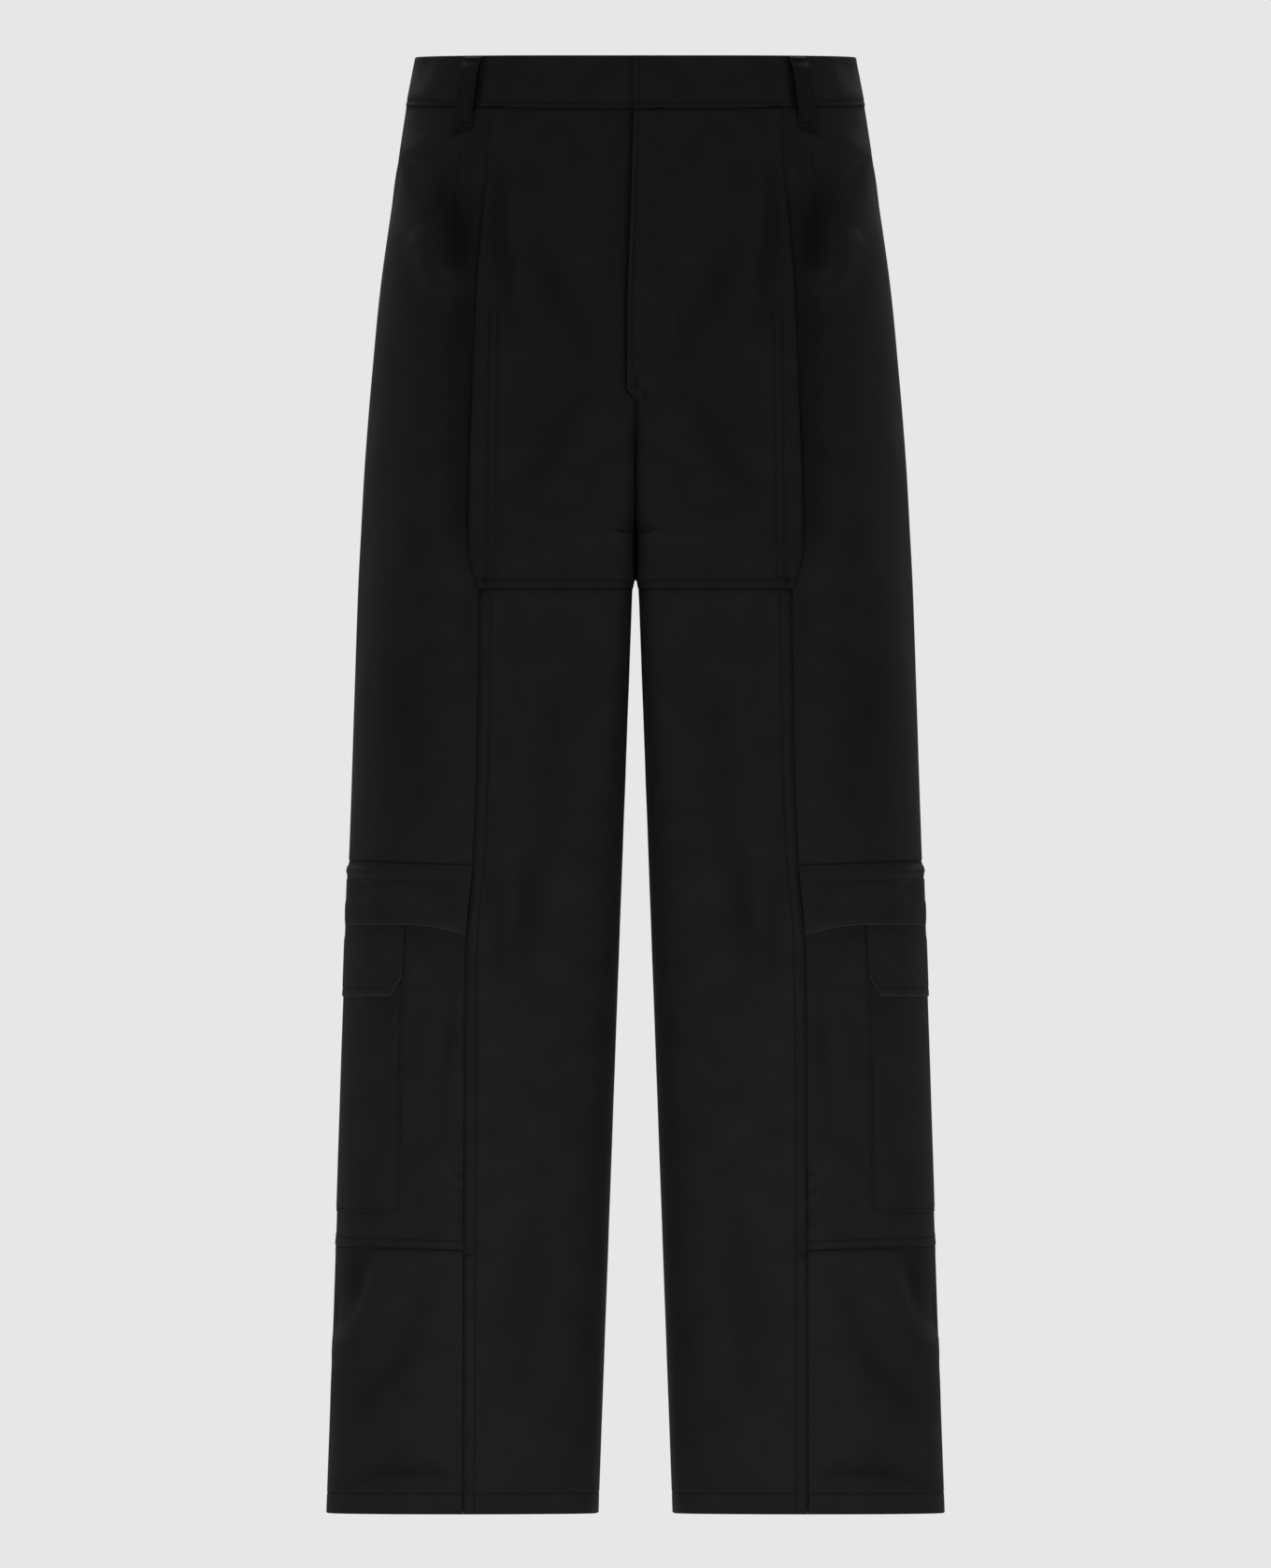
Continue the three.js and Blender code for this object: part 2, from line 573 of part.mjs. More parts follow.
// The cargo flap: a raised ridge along its top, and a lower edge that stands over the small flap beneath.
const RIDGE_LIFT = 4.2;
const FLAP_LIFT = GAP + FLAP_CLOTH;
const FLAP_EDGE_LIFT = FLAP_LIFT + GAP + FLAP_CLOTH;
function cargoFlap(isLeft) {
  const ridge = { from: CARGO_TOP + 4.6, top: CARGO_TOP + 6.4, end: CARGO_TOP + 11, foot: CARGO_TOP + 13.5 };
  const lift = (drop) => {
    if (drop <= ridge.from) return FLAP_LIFT;
    if (drop <= ridge.end) return RIDGE_LIFT;
    return mix(FLAP_LIFT, FLAP_EDGE_LIFT, clamp((drop - ridge.foot) / (POCKET_DROPS[0] - ridge.foot), 0, 1));
  };
  const rows = [
    shifted(cargoTop, HALF_GAP),
    ...ats(ridge.from, ridge.top, ridge.end, ridge.foot, POCKET_DROPS[0]),
    flapBottom,
  ];
  return wall(rows, sideColumns(lift), () => FLAP_CLOTH, !isLeft);
}

const patchColumns = (lift) => [
  ...shares(patchFront, sideLine, PATCH_TO_SIDE, lift),
  ...shares(sideLine, patchBack, SIDE_TO_PATCH, lift),
  line(patchBack, 0, lift),
];

function sidePatch(isLeft) {
  return wall(ats(...POCKET_DROPS.slice(1)), patchColumns(() => GAP + THIN_CLOTH), () => THIN_CLOTH, !isLeft);
}

function patchFlap(isLeft) {
  const low = GAP + FLAP_CLOTH;
  const high = low + GAP + THIN_CLOTH + 0.2;
  const lift = (drop) => (drop < PATCH_TOP - 4 ? low : high);
  const columns = patchColumns(lift);
  const cut = (column) => {
    const isCorner = column === columns[0] || column === columns[columns.length - 1];
    return isCorner ? PATCH_FLAP_BOTTOM - PATCH_FLAP_CUT : PATCH_FLAP_BOTTOM;
  };
  const rows = [...ats(PATCH_FLAP_TOP, 650, PATCH_TOP - 2, 672), cut];
  return wall(rows, columns, () => FLAP_CLOTH, !isLeft);
}

function hipWelt(isLeft) {
  const lift = () => GAP + THIN_CLOTH;
  const columns = shares(frontSeam, patchFront, SEAM_TO_PATCH, lift);
  return wall(ats(WELT_TOP, 80, 105, 135, WELT_BOTTOM), columns, () => THIN_CLOTH, !isLeft);
}

// The waistband halves. The right end sinks beneath the left one and runs on behind it.
const LAP_EDGE = -2; // x of the left end
const LAP_SINK = BAND_LIFT - BAND_CLOTH - GAP; // just behind the left end
const LAP_DEEP = LAP_SINK - 2.5; // leaves room for the hook and bar
const LAP_RUN = 38;
function waistband(isLeft) {
  const proud = () => BAND_LIFT;
  const start = isLeft
    ? [line(flush, LAP_EDGE - HALF_GAP, proud), line(flush, 14, proud)]
    : [
        line(flush, -LAP_RUN, () => LAP_DEEP),
        line(flush, -8, () => LAP_DEEP),
        line(flush, -LAP_EDGE + 0.4, () => LAP_SINK),
        line(flush, -LAP_EDGE + 8, proud),
      ];
  const columns = [
    ...start,
    ...shares(flush, frontSeam, [0.22, 0.36, 0.5, 0.64, 0.78, 0.9], proud),
    ...sideColumns(proud).slice(0, -1),
    line(backSeam, 0, proud),
    ...shares(backSeam, endLine, [0.24, 0.5, 0.76], proud),
    line(endLine, 0, proud),
  ];
  return wall([at(0), shifted(bandSeam, -HALF_GAP)], columns, () => BAND_CLOTH, !isLeft);
}

// A belt loop: a strip fixed at both ends that stands clear of the waistband between them.
function beltLoop(centreAt, isLeft) {
  const onBand = BAND_LIFT + GAP + LOOP_CLOTH;
  const onPanel = GAP + LOOP_CLOTH;
  const clear = BAND_LIFT + LOOP_STAND + LOOP_CLOTH;
  const lift = (drop) => {
    if (drop < 3) return onBand;
    if (drop > LOOP_LENGTH - 6) return onPanel;
    return clear;
  };
  const columns = [-1, 0, 1].map((side) => line(centreAt, (side * LOOP_WIDTH) / 2, lift));
  const rows = ats(0.8, 2.6, 8, 25, 42.5, LOOP_LENGTH - 4, LOOP_LENGTH);
  return wall(rows, columns, () => LOOP_CLOTH, !isLeft);
}
const frontLoopAt = (drop) => lengthAtX(drop, mix(119.2, 125.8, drop / LOOP_LENGTH), false);
const backLoopAt = (drop) => lengthAtX(drop, 84, true);
const centreBackAt = (drop) => level(drop).total + TOUCH_X;

// The zip: the right tape lies behind the underlap, the chain sits deeper, the left tape behind the left front.
const ZIP_TAPE = 1.1;
const ZIP_TOP = 46;
const CHAIN_X = 12.5;
const CHAIN_WIDTH = 5;
const TAPE_DEEP = -6;
const CHAIN_FACE = -4.6;
const UNDERLAP_INNER = UNDER_LIFT - CLOTH;
function flyZip() {
  const column = (x, lift) => line(flush, x - HALF_GAP, () => lift);
  const columns = [
    column(-FLY_UNDERLAP, UNDERLAP_INNER - GAP),
    column(FLY_UNDERLAP - 1, UNDERLAP_INNER - GAP),
    column(CHAIN_X - CHAIN_WIDTH / 2 - 0.6, TAPE_DEEP),
    column(CHAIN_X - CHAIN_WIDTH / 2, CHAIN_FACE),
    column(CHAIN_X + CHAIN_WIDTH / 2, CHAIN_FACE),
    column(CHAIN_X + CHAIN_WIDTH / 2 + 0.6, TAPE_DEEP),
    column(19.5, -CLOTH - GAP),
    column(26, -CLOTH - GAP),
  ];
  return wall(ats(ZIP_TOP, 80, 120, 160, 200, FLY_END - 2), columns, () => ZIP_TAPE, false);
}

// A small metal part from its side outline, pushed out evenly about its middle.
function pressed(outline, width) {
  const shape = new THREE.Shape(outline.map(([x, y]) => new THREE.Vector2(x, y)));
  const geometry = new THREE.ExtrudeGeometry(shape, { depth: width, bevelEnabled: false });
  return geometry.translate(0, 0, -width / 2);
}

// The slider with its pull hanging down, seen from the side: x is depth into the garment, y is height.
function zipSlider() {
  const face = -CHAIN_FACE - GAP;
  const front = face - 2.2;
  const height = 10;
  const pull = 17;
  const outline = [
    [front, 0],
    [face, 0],
    [face, -height],
    [front + 1.1, -height],
    [front + 1.1, -height - pull],
    [front, -height - pull],
  ];
  const geometry = pressed(outline, 6).rotateX(Math.PI / 2).rotateZ(Math.PI / 2);
  const top = ZIP_TOP + 3;
  const lean = Math.atan2(form.front(80) - form.front(ZIP_TOP), 80 - ZIP_TOP);
  return geometry.rotateX(lean).translate(CHAIN_X, form.front(top), -top);
}

// The trouser hook, seen from above: a plate behind the left end whose tongue turns back behind the bar.
const HOOK_DROP = 20;
const HOOK_METAL = 0.5;
const bandLean = Math.atan2(form.front(BAND_DROP) - form.front(0), BAND_DROP);
const hookY = mix(form.front(0), form.front(BAND_DROP), HOOK_DROP / BAND_DROP);
function waistHook() {
  const plate = -LAP_SINK;
  const tongue = plate + 2 * (HOOK_METAL + GAP);
  const outline = [
    [30, plate],
    [30, plate + HOOK_METAL],
    [15.5, plate + HOOK_METAL],
    [15.5, tongue],
    [21.5, tongue],
    [21.5, tongue + HOOK_METAL],
    [15, tongue + HOOK_METAL],
    [15, plate],
  ];
  return pressed(outline, 8).rotateX(bandLean).translate(0, hookY, -HOOK_DROP);
}

// The bar, seen from the side: a strip in front of the tongue with a foot at each end.
function waistBar() {
  const face = -LAP_SINK + HOOK_METAL + GAP;
  const foot = -LAP_DEEP - GAP;
  const outline = [
    [face, 6.5],
    [foot, 6.5],
    [foot, 5.5],
    [face + HOOK_METAL, 5.5],
    [face + HOOK_METAL, -5.5],
    [foot, -5.5],
    [foot, -6.5],
    [face, -6.5],
  ];
  const geometry = pressed(outline, 3).rotateX(Math.PI / 2).rotateZ(Math.PI / 2);
  return geometry.rotateX(bandLean).translate(18.5, hookY, -HOOK_DROP);
}

const twill = { color: 0x1b1a1d, roughness: 0.88, metalness: 0 };
const tape = { color: 0x161518, roughness: 0.8, metalness: 0 };
const metal = { color: 0x2b2b2e, roughness: 0.4, metalness: 1 };

const trousers = new THREE.Group();
function add(name, geometry, finish) {
  const mesh = new THREE.Mesh(geometry, new THREE.MeshStandardMaterial(finish));
  mesh.name = name;
  trousers.add(mesh);
}

const mirroredPieces = {
  front_upper: frontUpper,
  front_lower: frontLower,
  side_upper: sideUpper,
  hip_welt: hipWelt,
  cargo_backing: cargoBacking,
  cargo_pocket: cargoPocket,
  cargo_flap: cargoFlap,
  side_patch: sidePatch,
  patch_flap: patchFlap,
  side_lower: sideLower,
  back,
  waistband,
  belt_loop_front: (isLeft) => beltLoop(frontLoopAt, isLeft),
  belt_loop_back: (isLeft) => beltLoop(backLoopAt, isLeft),
};
for (const [name, make] of Object.entries(mirroredPieces)) {
  add(name + "_l", make(true), twill);
  add(name + "_r", make(false), twill);
}
add("belt_loop_centre", beltLoop(centreBackAt, true), twill);
add("fly_zip", flyZip(), tape);
add("zip_slider", zipSlider(), metal);
add("waist_hook", waistHook(), metal);
add("waist_bar", waistBar(), metal);

export default trousers;
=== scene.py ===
# %% [markdown]
# # Black cargo trousers
# A pair of wide, straight trousers in near-black twill, shown hollow, in the shape that they have when worn.
# The solids of the frame have the form. Here each cut piece gets fine cloth: rounded edges, folds, puckered
# seams with their stitches, and a woven finish. All lengths are millimetres until a mesh is made, and a
# height is a drop below the waist edge.

# %% Load the frame
import json
import math

import bpy
import numpy as np
from mathutils import Matrix, Vector

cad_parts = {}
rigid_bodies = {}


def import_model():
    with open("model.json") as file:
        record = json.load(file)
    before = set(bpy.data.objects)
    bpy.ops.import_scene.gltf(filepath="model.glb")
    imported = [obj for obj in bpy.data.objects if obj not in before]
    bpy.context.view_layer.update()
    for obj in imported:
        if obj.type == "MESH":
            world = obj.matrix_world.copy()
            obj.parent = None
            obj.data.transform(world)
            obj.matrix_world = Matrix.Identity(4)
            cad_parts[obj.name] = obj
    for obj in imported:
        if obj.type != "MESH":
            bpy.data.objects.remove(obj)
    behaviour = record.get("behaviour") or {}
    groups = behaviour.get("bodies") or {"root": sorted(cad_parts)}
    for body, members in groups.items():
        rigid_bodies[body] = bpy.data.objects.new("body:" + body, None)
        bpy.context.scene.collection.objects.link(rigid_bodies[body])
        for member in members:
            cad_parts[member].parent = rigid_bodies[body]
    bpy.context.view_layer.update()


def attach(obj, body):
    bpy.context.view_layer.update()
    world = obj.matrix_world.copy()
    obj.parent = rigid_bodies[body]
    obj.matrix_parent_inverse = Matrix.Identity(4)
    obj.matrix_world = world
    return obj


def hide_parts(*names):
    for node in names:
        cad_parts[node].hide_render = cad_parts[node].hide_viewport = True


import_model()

MM = 0.001

# %% [markdown]
# ## Camera
# The waist and hem edges of a worn garment are curves in space, and they show as straight level lines only
# from far away. So the camera stands 40 m off at the height of the garment's middle, with a very long lens.

# %% Camera
CAMERA_DISTANCE = 40.0
VIEW_MIDDLE = -0.5393  # height of the picture's middle
VIEW_HEIGHT = 1.1632  # height of the picture at the garment
SENSOR = 36.0
camera = bpy.data.objects.new("camera", bpy.data.cameras.new("camera"))
bpy.context.scene.collection.objects.link(camera)
camera.data.sensor_width = SENSOR
camera.data.lens = SENSOR * CAMERA_DISTANCE / VIEW_HEIGHT
camera.data.clip_end = 200
camera.location = (0, -CAMERA_DISTANCE, VIEW_MIDDLE)
camera.rotation_euler = (math.radians(90), 0, 0)
bpy.context.scene.camera = camera
print("lens", round(camera.data.lens), "mm")

# %% [markdown]
# ## Floor and light
# Black cloth shows its folds only where a light grazes them. The key light hangs high in front. Tall soft
# boxes stand close on both sides, before and behind, a low one lifts the legs, and a wide ceiling light and a
# weak world fill the rest. One more light behind is for the views of the back. The lights are set for black
# cloth and would burn out a white floor, so it is grey paper that also glows a little. The view transform is
# the plain one, so that the pale ground and the black cloth keep the values that they are given.

# %% Floor and lights
bpy.context.scene.view_settings.view_transform = "Standard"
FLOOR_DROP = 1.30
FLOOR_RADIUS = 7.0
GROUND = "#e7e7e7"  # what the camera sees past the floor
WORLD_FILL = 0.1


def to_linear(hex_colour):
    """An sRGB hex colour as linear red, green, blue and 1."""
    parts = [int(hex_colour[i:i + 2], 16) / 255 for i in (1, 3, 5)]
    return [p / 12.92 if p <= 0.04045 else ((p + 0.055) / 1.055) ** 2.4 for p in parts] + [1.0]


def deselect_all():
    """Leaves nothing selected, the frame's own objects included."""
    for obj in bpy.context.view_layer.objects:
        obj.select_set(False)


deselect_all()
bpy.ops.mesh.primitive_circle_add(
    vertices=96, radius=FLOOR_RADIUS, fill_type="NGON", location=(0, 0, -FLOOR_DROP))
floor = bpy.context.object
floor.name = "floor"

world = bpy.data.worlds.new("studio")
bpy.context.scene.world = world
world.use_nodes = True
tree = world.node_tree
fill = tree.nodes["Background"]
fill.inputs["Color"].default_value = (1, 1, 1, 1)
fill.inputs["Strength"].default_value = WORLD_FILL
ground = tree.nodes.new("ShaderNodeBackground")
ground.inputs["Color"].default_value = to_linear(GROUND)
choice = tree.nodes.new("ShaderNodeMixShader")
seen = tree.nodes.new("ShaderNodeLightPath")
tree.links.new(seen.outputs["Is Camera Ray"], choice.inputs[0])
tree.links.new(fill.outputs[0], choice.inputs[1])
tree.links.new(ground.outputs[0], choice.inputs[2])
tree.links.new(choice.outputs[0], tree.nodes["World Output"].inputs["Surface"])


def soft_box(name, place, aim, width, height, power):
    """A rectangular studio light at place, turned to aim, in metres and watts."""
    lamp = bpy.data.lights.new(name, "AREA")
    lamp.shape = "RECTANGLE"
    lamp.size = width
    lamp.size_y = height
    lamp.energy = power
    obj = bpy.data.objects.new(name, lamp)
    bpy.context.scene.collection.objects.link(obj)
    obj.location = place
    obj.visible_camera = False
    obj.rotation_mode = "QUATERNION"
    obj.rotation_quaternion = (Vector(aim) - Vector(place)).to_track_quat("-Z", "Y")
    return obj


for side in (-1, 1):
    soft_box(f"box_{side}", (0.85 * side, -0.5, -0.64), (0.16 * side, 0, -0.72), 0.16, 1.2, 0.85)
    soft_box(f"rim_{side}", (0.9 * side, 0.5, -0.3), (0.18 * side, 0, -0.3), 0.2, 1.2, 0.5)
soft_box("key", (0, -1.75, 3.9), (0, -0.05, -0.5), 1.2, 0.5, 96)
soft_box("low", (0, -1.0, -1.12), (0, 0, -1.02), 1.5, 0.16, 6.8)
soft_box("ceiling", (0, 0, 3.2), (0, 0, 0), 7.0, 7.0, 26)
soft_box("behind", (0, 1.75, 2.6), (0, 0.05, -0.5), 1.6, 0.8, 210)
print("studio ready")

# %% [markdown]
# ## The form
# A worn trouser leg is a soft tube. At each height, half of the garment is one smooth closed bend: from the
# centre front seam, or the inseam, round the outside to the centre back. Five curves make it, and a few
# sizes at a dozen heights drive them. A place on the cloth is then a height and a length along that bend,
# as on a tailor's pattern, so seams, folds and stitches can be put where they were measured.

# %% Sizes of the form
LENGTH = 1080.0
CLOTH = 1.6
BAND_CLOTH = 2.4
BAND_LIFT = 0.6
THIN_CLOTH = 1.2
FLAP_CLOTH = 1.5
GAP = 0.3
HALF_GAP = GAP / 2
SEWN = 0.02  # sewn edges almost touch
HEM_DEPTH = 15.0

FORM = [  # drop, side, front, back, wide, fore, aft
    (0, 162.9, -103, 111, 6, 58, 56),
    (40, 170.4, -108, 117, 6, 62, 62),
    (100, 179.2, -114, 129, 7, 70, 74),
    (170, 189.1, -118, 138, 7, 78, 86),
    (240, 195.9, -120, 139, 6, 88, 96),
    (300, 200.7, -120, 133, 4, 96, 102),
    (352, 203.6, -118, 123, 2, 102, 105),
    (397, 205.9, -116, 114, 0, 105, 107),
    (560, 211.3, -109, 98, -3, 111, 112),
    (720, 217.0, -102, 88, -4, 116, 117),
    (900, 222.9, -95, 81, -5, 122, 123),
    (1080, 229.4, -89, 76, -6, 128, 128),
]
# drop, then how far the curves are pulled out: at the inner back, at the front and at the outer back
FULLNESS = [(0, 0.6, 0.6, 0.58), (250, 0.6, 0.64, 0.6), (397, 0.7, 0.66, 0.6), (1080, 0.6, 0.62, 0.58)]
CORNER = [(0, 11, 3), (397, 12, 4), (560, 26, 9), (720, 36, 12), (1080, 44, 14)]  # drop, reach, sag
CORNER_SOFT, CORNER_TIGHT = 0.5, 0.84  # the corner's pull where it is open and where it is tight
FACE_PULL = 0.36
TURN_DEPTH, SAG_DEPTH = 8.0, 20.0  # depths of the rise over which the front turns in and sags
FRONT_SEAM = [  # drop, x, as in the next two
    (40, 105.0), (81, 106.8), (131, 109.9), (170, 112.0), (270, 113.6), (395, 115.2),
    (526, 117.2), (598, 120.2), (646, 124.8), (756, 126.4), (1080, 127.6),
]
PLEAT_EDGE = [
    (40, 106.8), (81, 108.8), (128, 113.0), (170, 116.5), (262, 120.6), (316, 122.7), (370, 122.7), (391, 117.4),
]
BACK_SEAM = [(40, 98), (120, 116), (240, 132), (395, 143), (600, 152), (880, 161), (1080, 166)]
# drop, length past the centre of the left front's edge
FLY_EDGE = [(40, -1.4), (114, -3.5), (186, -6.2), (247, -6.2), (256, HALF_GAP)]
PATCH_SHARE = 0.51  # the patch's front edge, from the front seam to the outline
RISE_START, RISE_END = 250.0, 352.0
CROTCH_Y, HEM_INSEAM_Y = 10.0, -4.0
TURN_POWER = 0.75
SLOT_TOP, SLOT_END, SLOT_X, HEM_INNER_X = 388.0, 397.0, 2.4, 27.4

DROPS = np.arange(0.0, LENGTH + 1)
STRETCH_STEPS = 60
SAMPLES = 700  # along each level
PAD = 60  # more samples past either end, where the line runs straight on


def lookup(place, rows):
    """The value at a place between the rows of a table of places and values."""
    return np.interp(place, *zip(*rows))


def mix(a, b, share):
    return a + (b - a) * share


def smooth(rows, column=1):
    """A smooth curve through one column of a table, read at every whole drop."""
    d = np.array([row[0] for row in rows], float)
    v = np.array([row[column] for row in rows], float)
    slope = np.gradient(v, d)
    slope[1:-1] = (v[2:] - v[:-2]) / (d[2:] - d[:-2])
    x = np.clip(DROPS, d[0], d[-1])
    i = np.clip(np.searchsorted(d, x) - 1, 0, len(d) - 2)
    span = d[i + 1] - d[i]
    t = (x - d[i]) / span
    swing = t * (1 - t) ** 2 * slope[i] * span + t * t * (t - 1) * slope[i + 1] * span
    return mix(v[i], v[i + 1], t * t * (3 - 2 * t)) + swing


# %% Level curves
def bend(a, b, c, d):
    """A row of points on a cubic curve for every drop, from its four control points."""
    t = np.linspace(0, 1, STRETCH_STEPS + 1)[None, :, None]
    a, b, c, d = (p[:, None, :] for p in (a, b, c, d))
    return a * (1 - t) ** 3 + 3 * b * t * (1 - t) ** 2 + 3 * c * t * t * (1 - t) + d * t ** 3


def pair(x, y):
    """An x and a y for each drop, as points."""
    return np.stack([np.broadcast_to(x, DROPS.shape), np.broadcast_to(y, DROPS.shape)], axis=1)


def inner_x():
    """Half of the gap between the legs: touching, then a rounded slot, then a straight line to the hem."""
    line = SLOT_X + (HEM_INNER_X - SLOT_X) * (DROPS - SLOT_END) / (LENGTH - SLOT_END)
    t = np.clip((DROPS - SLOT_TOP) / (SLOT_END - SLOT_TOP), 0, 1)
    return mix(HALF_GAP, line, np.sqrt(1 - (1 - t) ** 2))


side, front, back, wide, fore, aft = (smooth(FORM, i) for i in range(1, 7))
full_inner, full_front, full_back = (smooth(FULLNESS, i) for i in range(1, 4))
sweep = np.clip((DROPS - RISE_START) / (RISE_END - RISE_START), 0, 1)
tuck = 1 - np.sqrt(1 - sweep ** 2)
turn = math.pi / 2 * tuck ** TURN_POWER
seam_y = mix(CROTCH_Y, HEM_INSEAM_Y, np.clip((DROPS - RISE_END) / (LENGTH - RISE_END), 0, 1))
x0 = inner_x()
start = pair(x0, mix(front, seam_y, tuck))
end = pair(x0, mix(back, seam_y, tuck))
foremost, widest, rearmost = pair(fore, front), pair(side, wide), pair(aft, back)
corner_reach, corner_sag = smooth(CORNER, 1), smooth(CORNER, 2)
depth = start[:, 1] - front
front_turn = math.pi / 2 * (1 - np.exp(-depth / TURN_DEPTH))
sag = corner_sag * (1 - np.exp(-depth / SAG_DEPTH))
corner = pair(x0 + corner_reach, front + sag)
face_run = fore - corner[:, 0]
slope = np.arctan2(2 * sag, face_run)
face_way = pair(np.cos(slope), -np.sin(slope))
corner_pull = mix(CORNER_SOFT, CORNER_TIGHT, np.sin(front_turn))
away, home = pair(np.cos(front_turn), -np.sin(front_turn)), pair(-np.cos(turn), -np.sin(turn))
out, rearward, inward = pair(1.0, 0.0), pair(0.0, 1.0), pair(-1.0, 0.0)


def tall(values):
    """One value for each drop, as a column that multiplies points."""
    return np.asarray(values)[:, None]


turn_in = pair(corner[:, 0], corner[:, 1] + corner_reach * np.tan(slope) * np.sin(front_turn))
start_reach = corner_pull * np.sum((turn_in - start) * away, axis=1)
end_reach = full_inner * ((aft - x0) * np.cos(turn) + (back - end[:, 1]) * np.sin(turn))
stretches = [
    bend(start, start + away * tall(start_reach), corner - face_way * tall(corner_pull * corner_reach), corner),
    bend(corner, corner + face_way * tall(FACE_PULL * face_run), foremost - out * tall(FACE_PULL * face_run),
         foremost),
    bend(foremost, foremost + out * tall(full_front * (side - fore)),
         widest - rearward * tall(full_front * (wide - front)), widest),
    bend(widest, widest + rearward * tall(full_back * (back - wide)),
         rearmost - inward * tall(full_back * (side - aft)), rearmost),
    bend(rearmost, rearmost + inward * tall(full_inner * (aft - x0)), end - home * tall(end_reach), end),
]
outline = np.concatenate([stretches[0]] + [curve[:, 1:] for curve in stretches[1:]], axis=1)
steps = np.linalg.norm(np.diff(outline, axis=1), axis=2)
along = np.concatenate([np.zeros((len(DROPS), 1)), np.cumsum(steps, axis=1)], axis=1)
TOTAL = along[:, -1]
SIDE = along[:, 3 * STRETCH_STEPS]
STEP = TOTAL / SAMPLES

table = np.empty((len(DROPS), SAMPLES + 1 + 2 * PAD, 4))
for r in range(len(DROPS)):
    reach = np.arange(-PAD, SAMPLES + PAD + 1) * STEP[r]
    for axis in (0, 1):
        inside = np.interp(reach, along[r], outline[r, :, axis])
        before = outline[r, 0, axis] + away[r, axis] * reach
        after = outline[r, -1, axis] + home[r, axis] * (reach - TOTAL[r])
        table[r, :, axis] = np.where(reach < 0, before, np.where(reach > TOTAL[r], after, inside))
WIDE_STEP = 3  # the outward direction is read over a few samples
tangent = np.empty(table[:, :, :2].shape)
tangent[:, WIDE_STEP:-WIDE_STEP] = table[:, 2 * WIDE_STEP:, :2] - table[:, :-2 * WIDE_STEP, :2]
tangent[:, :WIDE_STEP] = tangent[:, WIDE_STEP:WIDE_STEP + 1]
tangent[:, -WIDE_STEP:] = tangent[:, -WIDE_STEP - 1:-WIDE_STEP]
tangent /= np.linalg.norm(tangent, axis=2, keepdims=True)
table[:, :, 2] = tangent[:, :, 1]
table[:, :, 3] = -tangent[:, :, 0]


def on_form(drop, s):
    """x, y and the outward direction of the form, at arrays of drops and lengths along the level."""
    drop, s = np.broadcast_arrays(np.asarray(drop, float), np.asarray(s, float))
    row = np.clip(drop, 0, LENGTH - 1e-6)
    low = row.astype(int)
    part = row - low
    total = 0
    for r, weight in ((low, 1 - part), (low + 1, part)):
        k = np.clip(s / STEP[r] + PAD, 0, table.shape[1] - 1.001)
        i = k.astype(int)
        f = (k - i)[..., None]
        total = total + weight[..., None] * (table[r, i] * (1 - f) + table[r, i + 1] * f)
    return total


HIP_DROP = 240
print("waist", round(2 * TOTAL[0]), "hips", round(2 * TOTAL[HIP_DROP]), "hem", round(TOTAL[-1]), "mm round")


# %% Seam lines
def reader(values):
    """A line that is known at every whole drop, as a function of any drop."""
    return lambda drop: np.interp(drop, DROPS, values)


def front_line(x_at):
    """The length along each level where the front half reaches a given x."""
    found = []
    for r, x in enumerate(np.asarray(x_at) + np.zeros(len(DROPS))):
        last = PAD + int(SIDE[r] / STEP[r])
        found.append(np.interp(x, table[r, PAD:last, 0], np.arange(last - PAD) * STEP[r]))
    return reader(found)


def back_line(x_at):
    """The same on the back half."""
    found = []
    for r, x in enumerate(np.asarray(x_at) + np.zeros(len(DROPS))):
        first = PAD + int(SIDE[r] / STEP[r]) + 1
        xs = table[r, first:PAD + SAMPLES + 1, 0][::-1]
        lengths = (np.arange(first, PAD + SAMPLES + 1) - PAD)[::-1] * STEP[r]
        found.append(np.interp(x, xs, lengths))
    return reader(found)


side_line, total_line = reader(SIDE), reader(TOTAL)
front_seam = front_line(smooth(FRONT_SEAM))
pleat_edge = front_line(smooth(PLEAT_EDGE))
patch_front = front_line(mix(smooth(FRONT_SEAM), side, PATCH_SHARE))
back_seam = back_line(smooth(BACK_SEAM))


def patch_back(drop):
    return 2 * side_line(drop) - patch_front(drop)


def start_line(drop):
    return np.where(np.asarray(drop) >= RISE_END, HALF_GAP, 0.0)


def end_line(drop):
    return total_line(drop) - start_line(drop)


RISE_TOUCH = 0.2  # closes the slit between the left and right halves along the rise
FRONT_NEAR, BACK_NEAR = 60, 30  # lengths from the two ends of a level that are drawn in


def rise_lift(drop, s):
    """Brings the two halves together where their walls turn towards each other."""
    at_front = np.interp(drop, DROPS, np.sin(front_turn)) * (s < FRONT_NEAR)
    at_back = np.interp(drop, DROPS, np.sin(turn)) * (total_line(drop) - s < BACK_NEAR)
    return RISE_TOUCH * (at_front + at_back) * (drop < SLOT_TOP)


def rise_reach(drop, turned=turn):
    """The same along the level, for the panels' borders."""
    return RISE_TOUCH * np.interp(drop, DROPS, np.cos(turned)) * (np.asarray(drop) < RISE_END)


def fly_edge(drop):
    return lookup(drop, FLY_EDGE)


def beside(line, offset):
    """A line that runs a fixed distance along the level from another."""
    return lambda drop: line(drop) + offset


def between(first, last, share):
    return lambda drop: mix(first(drop), last(drop), share)


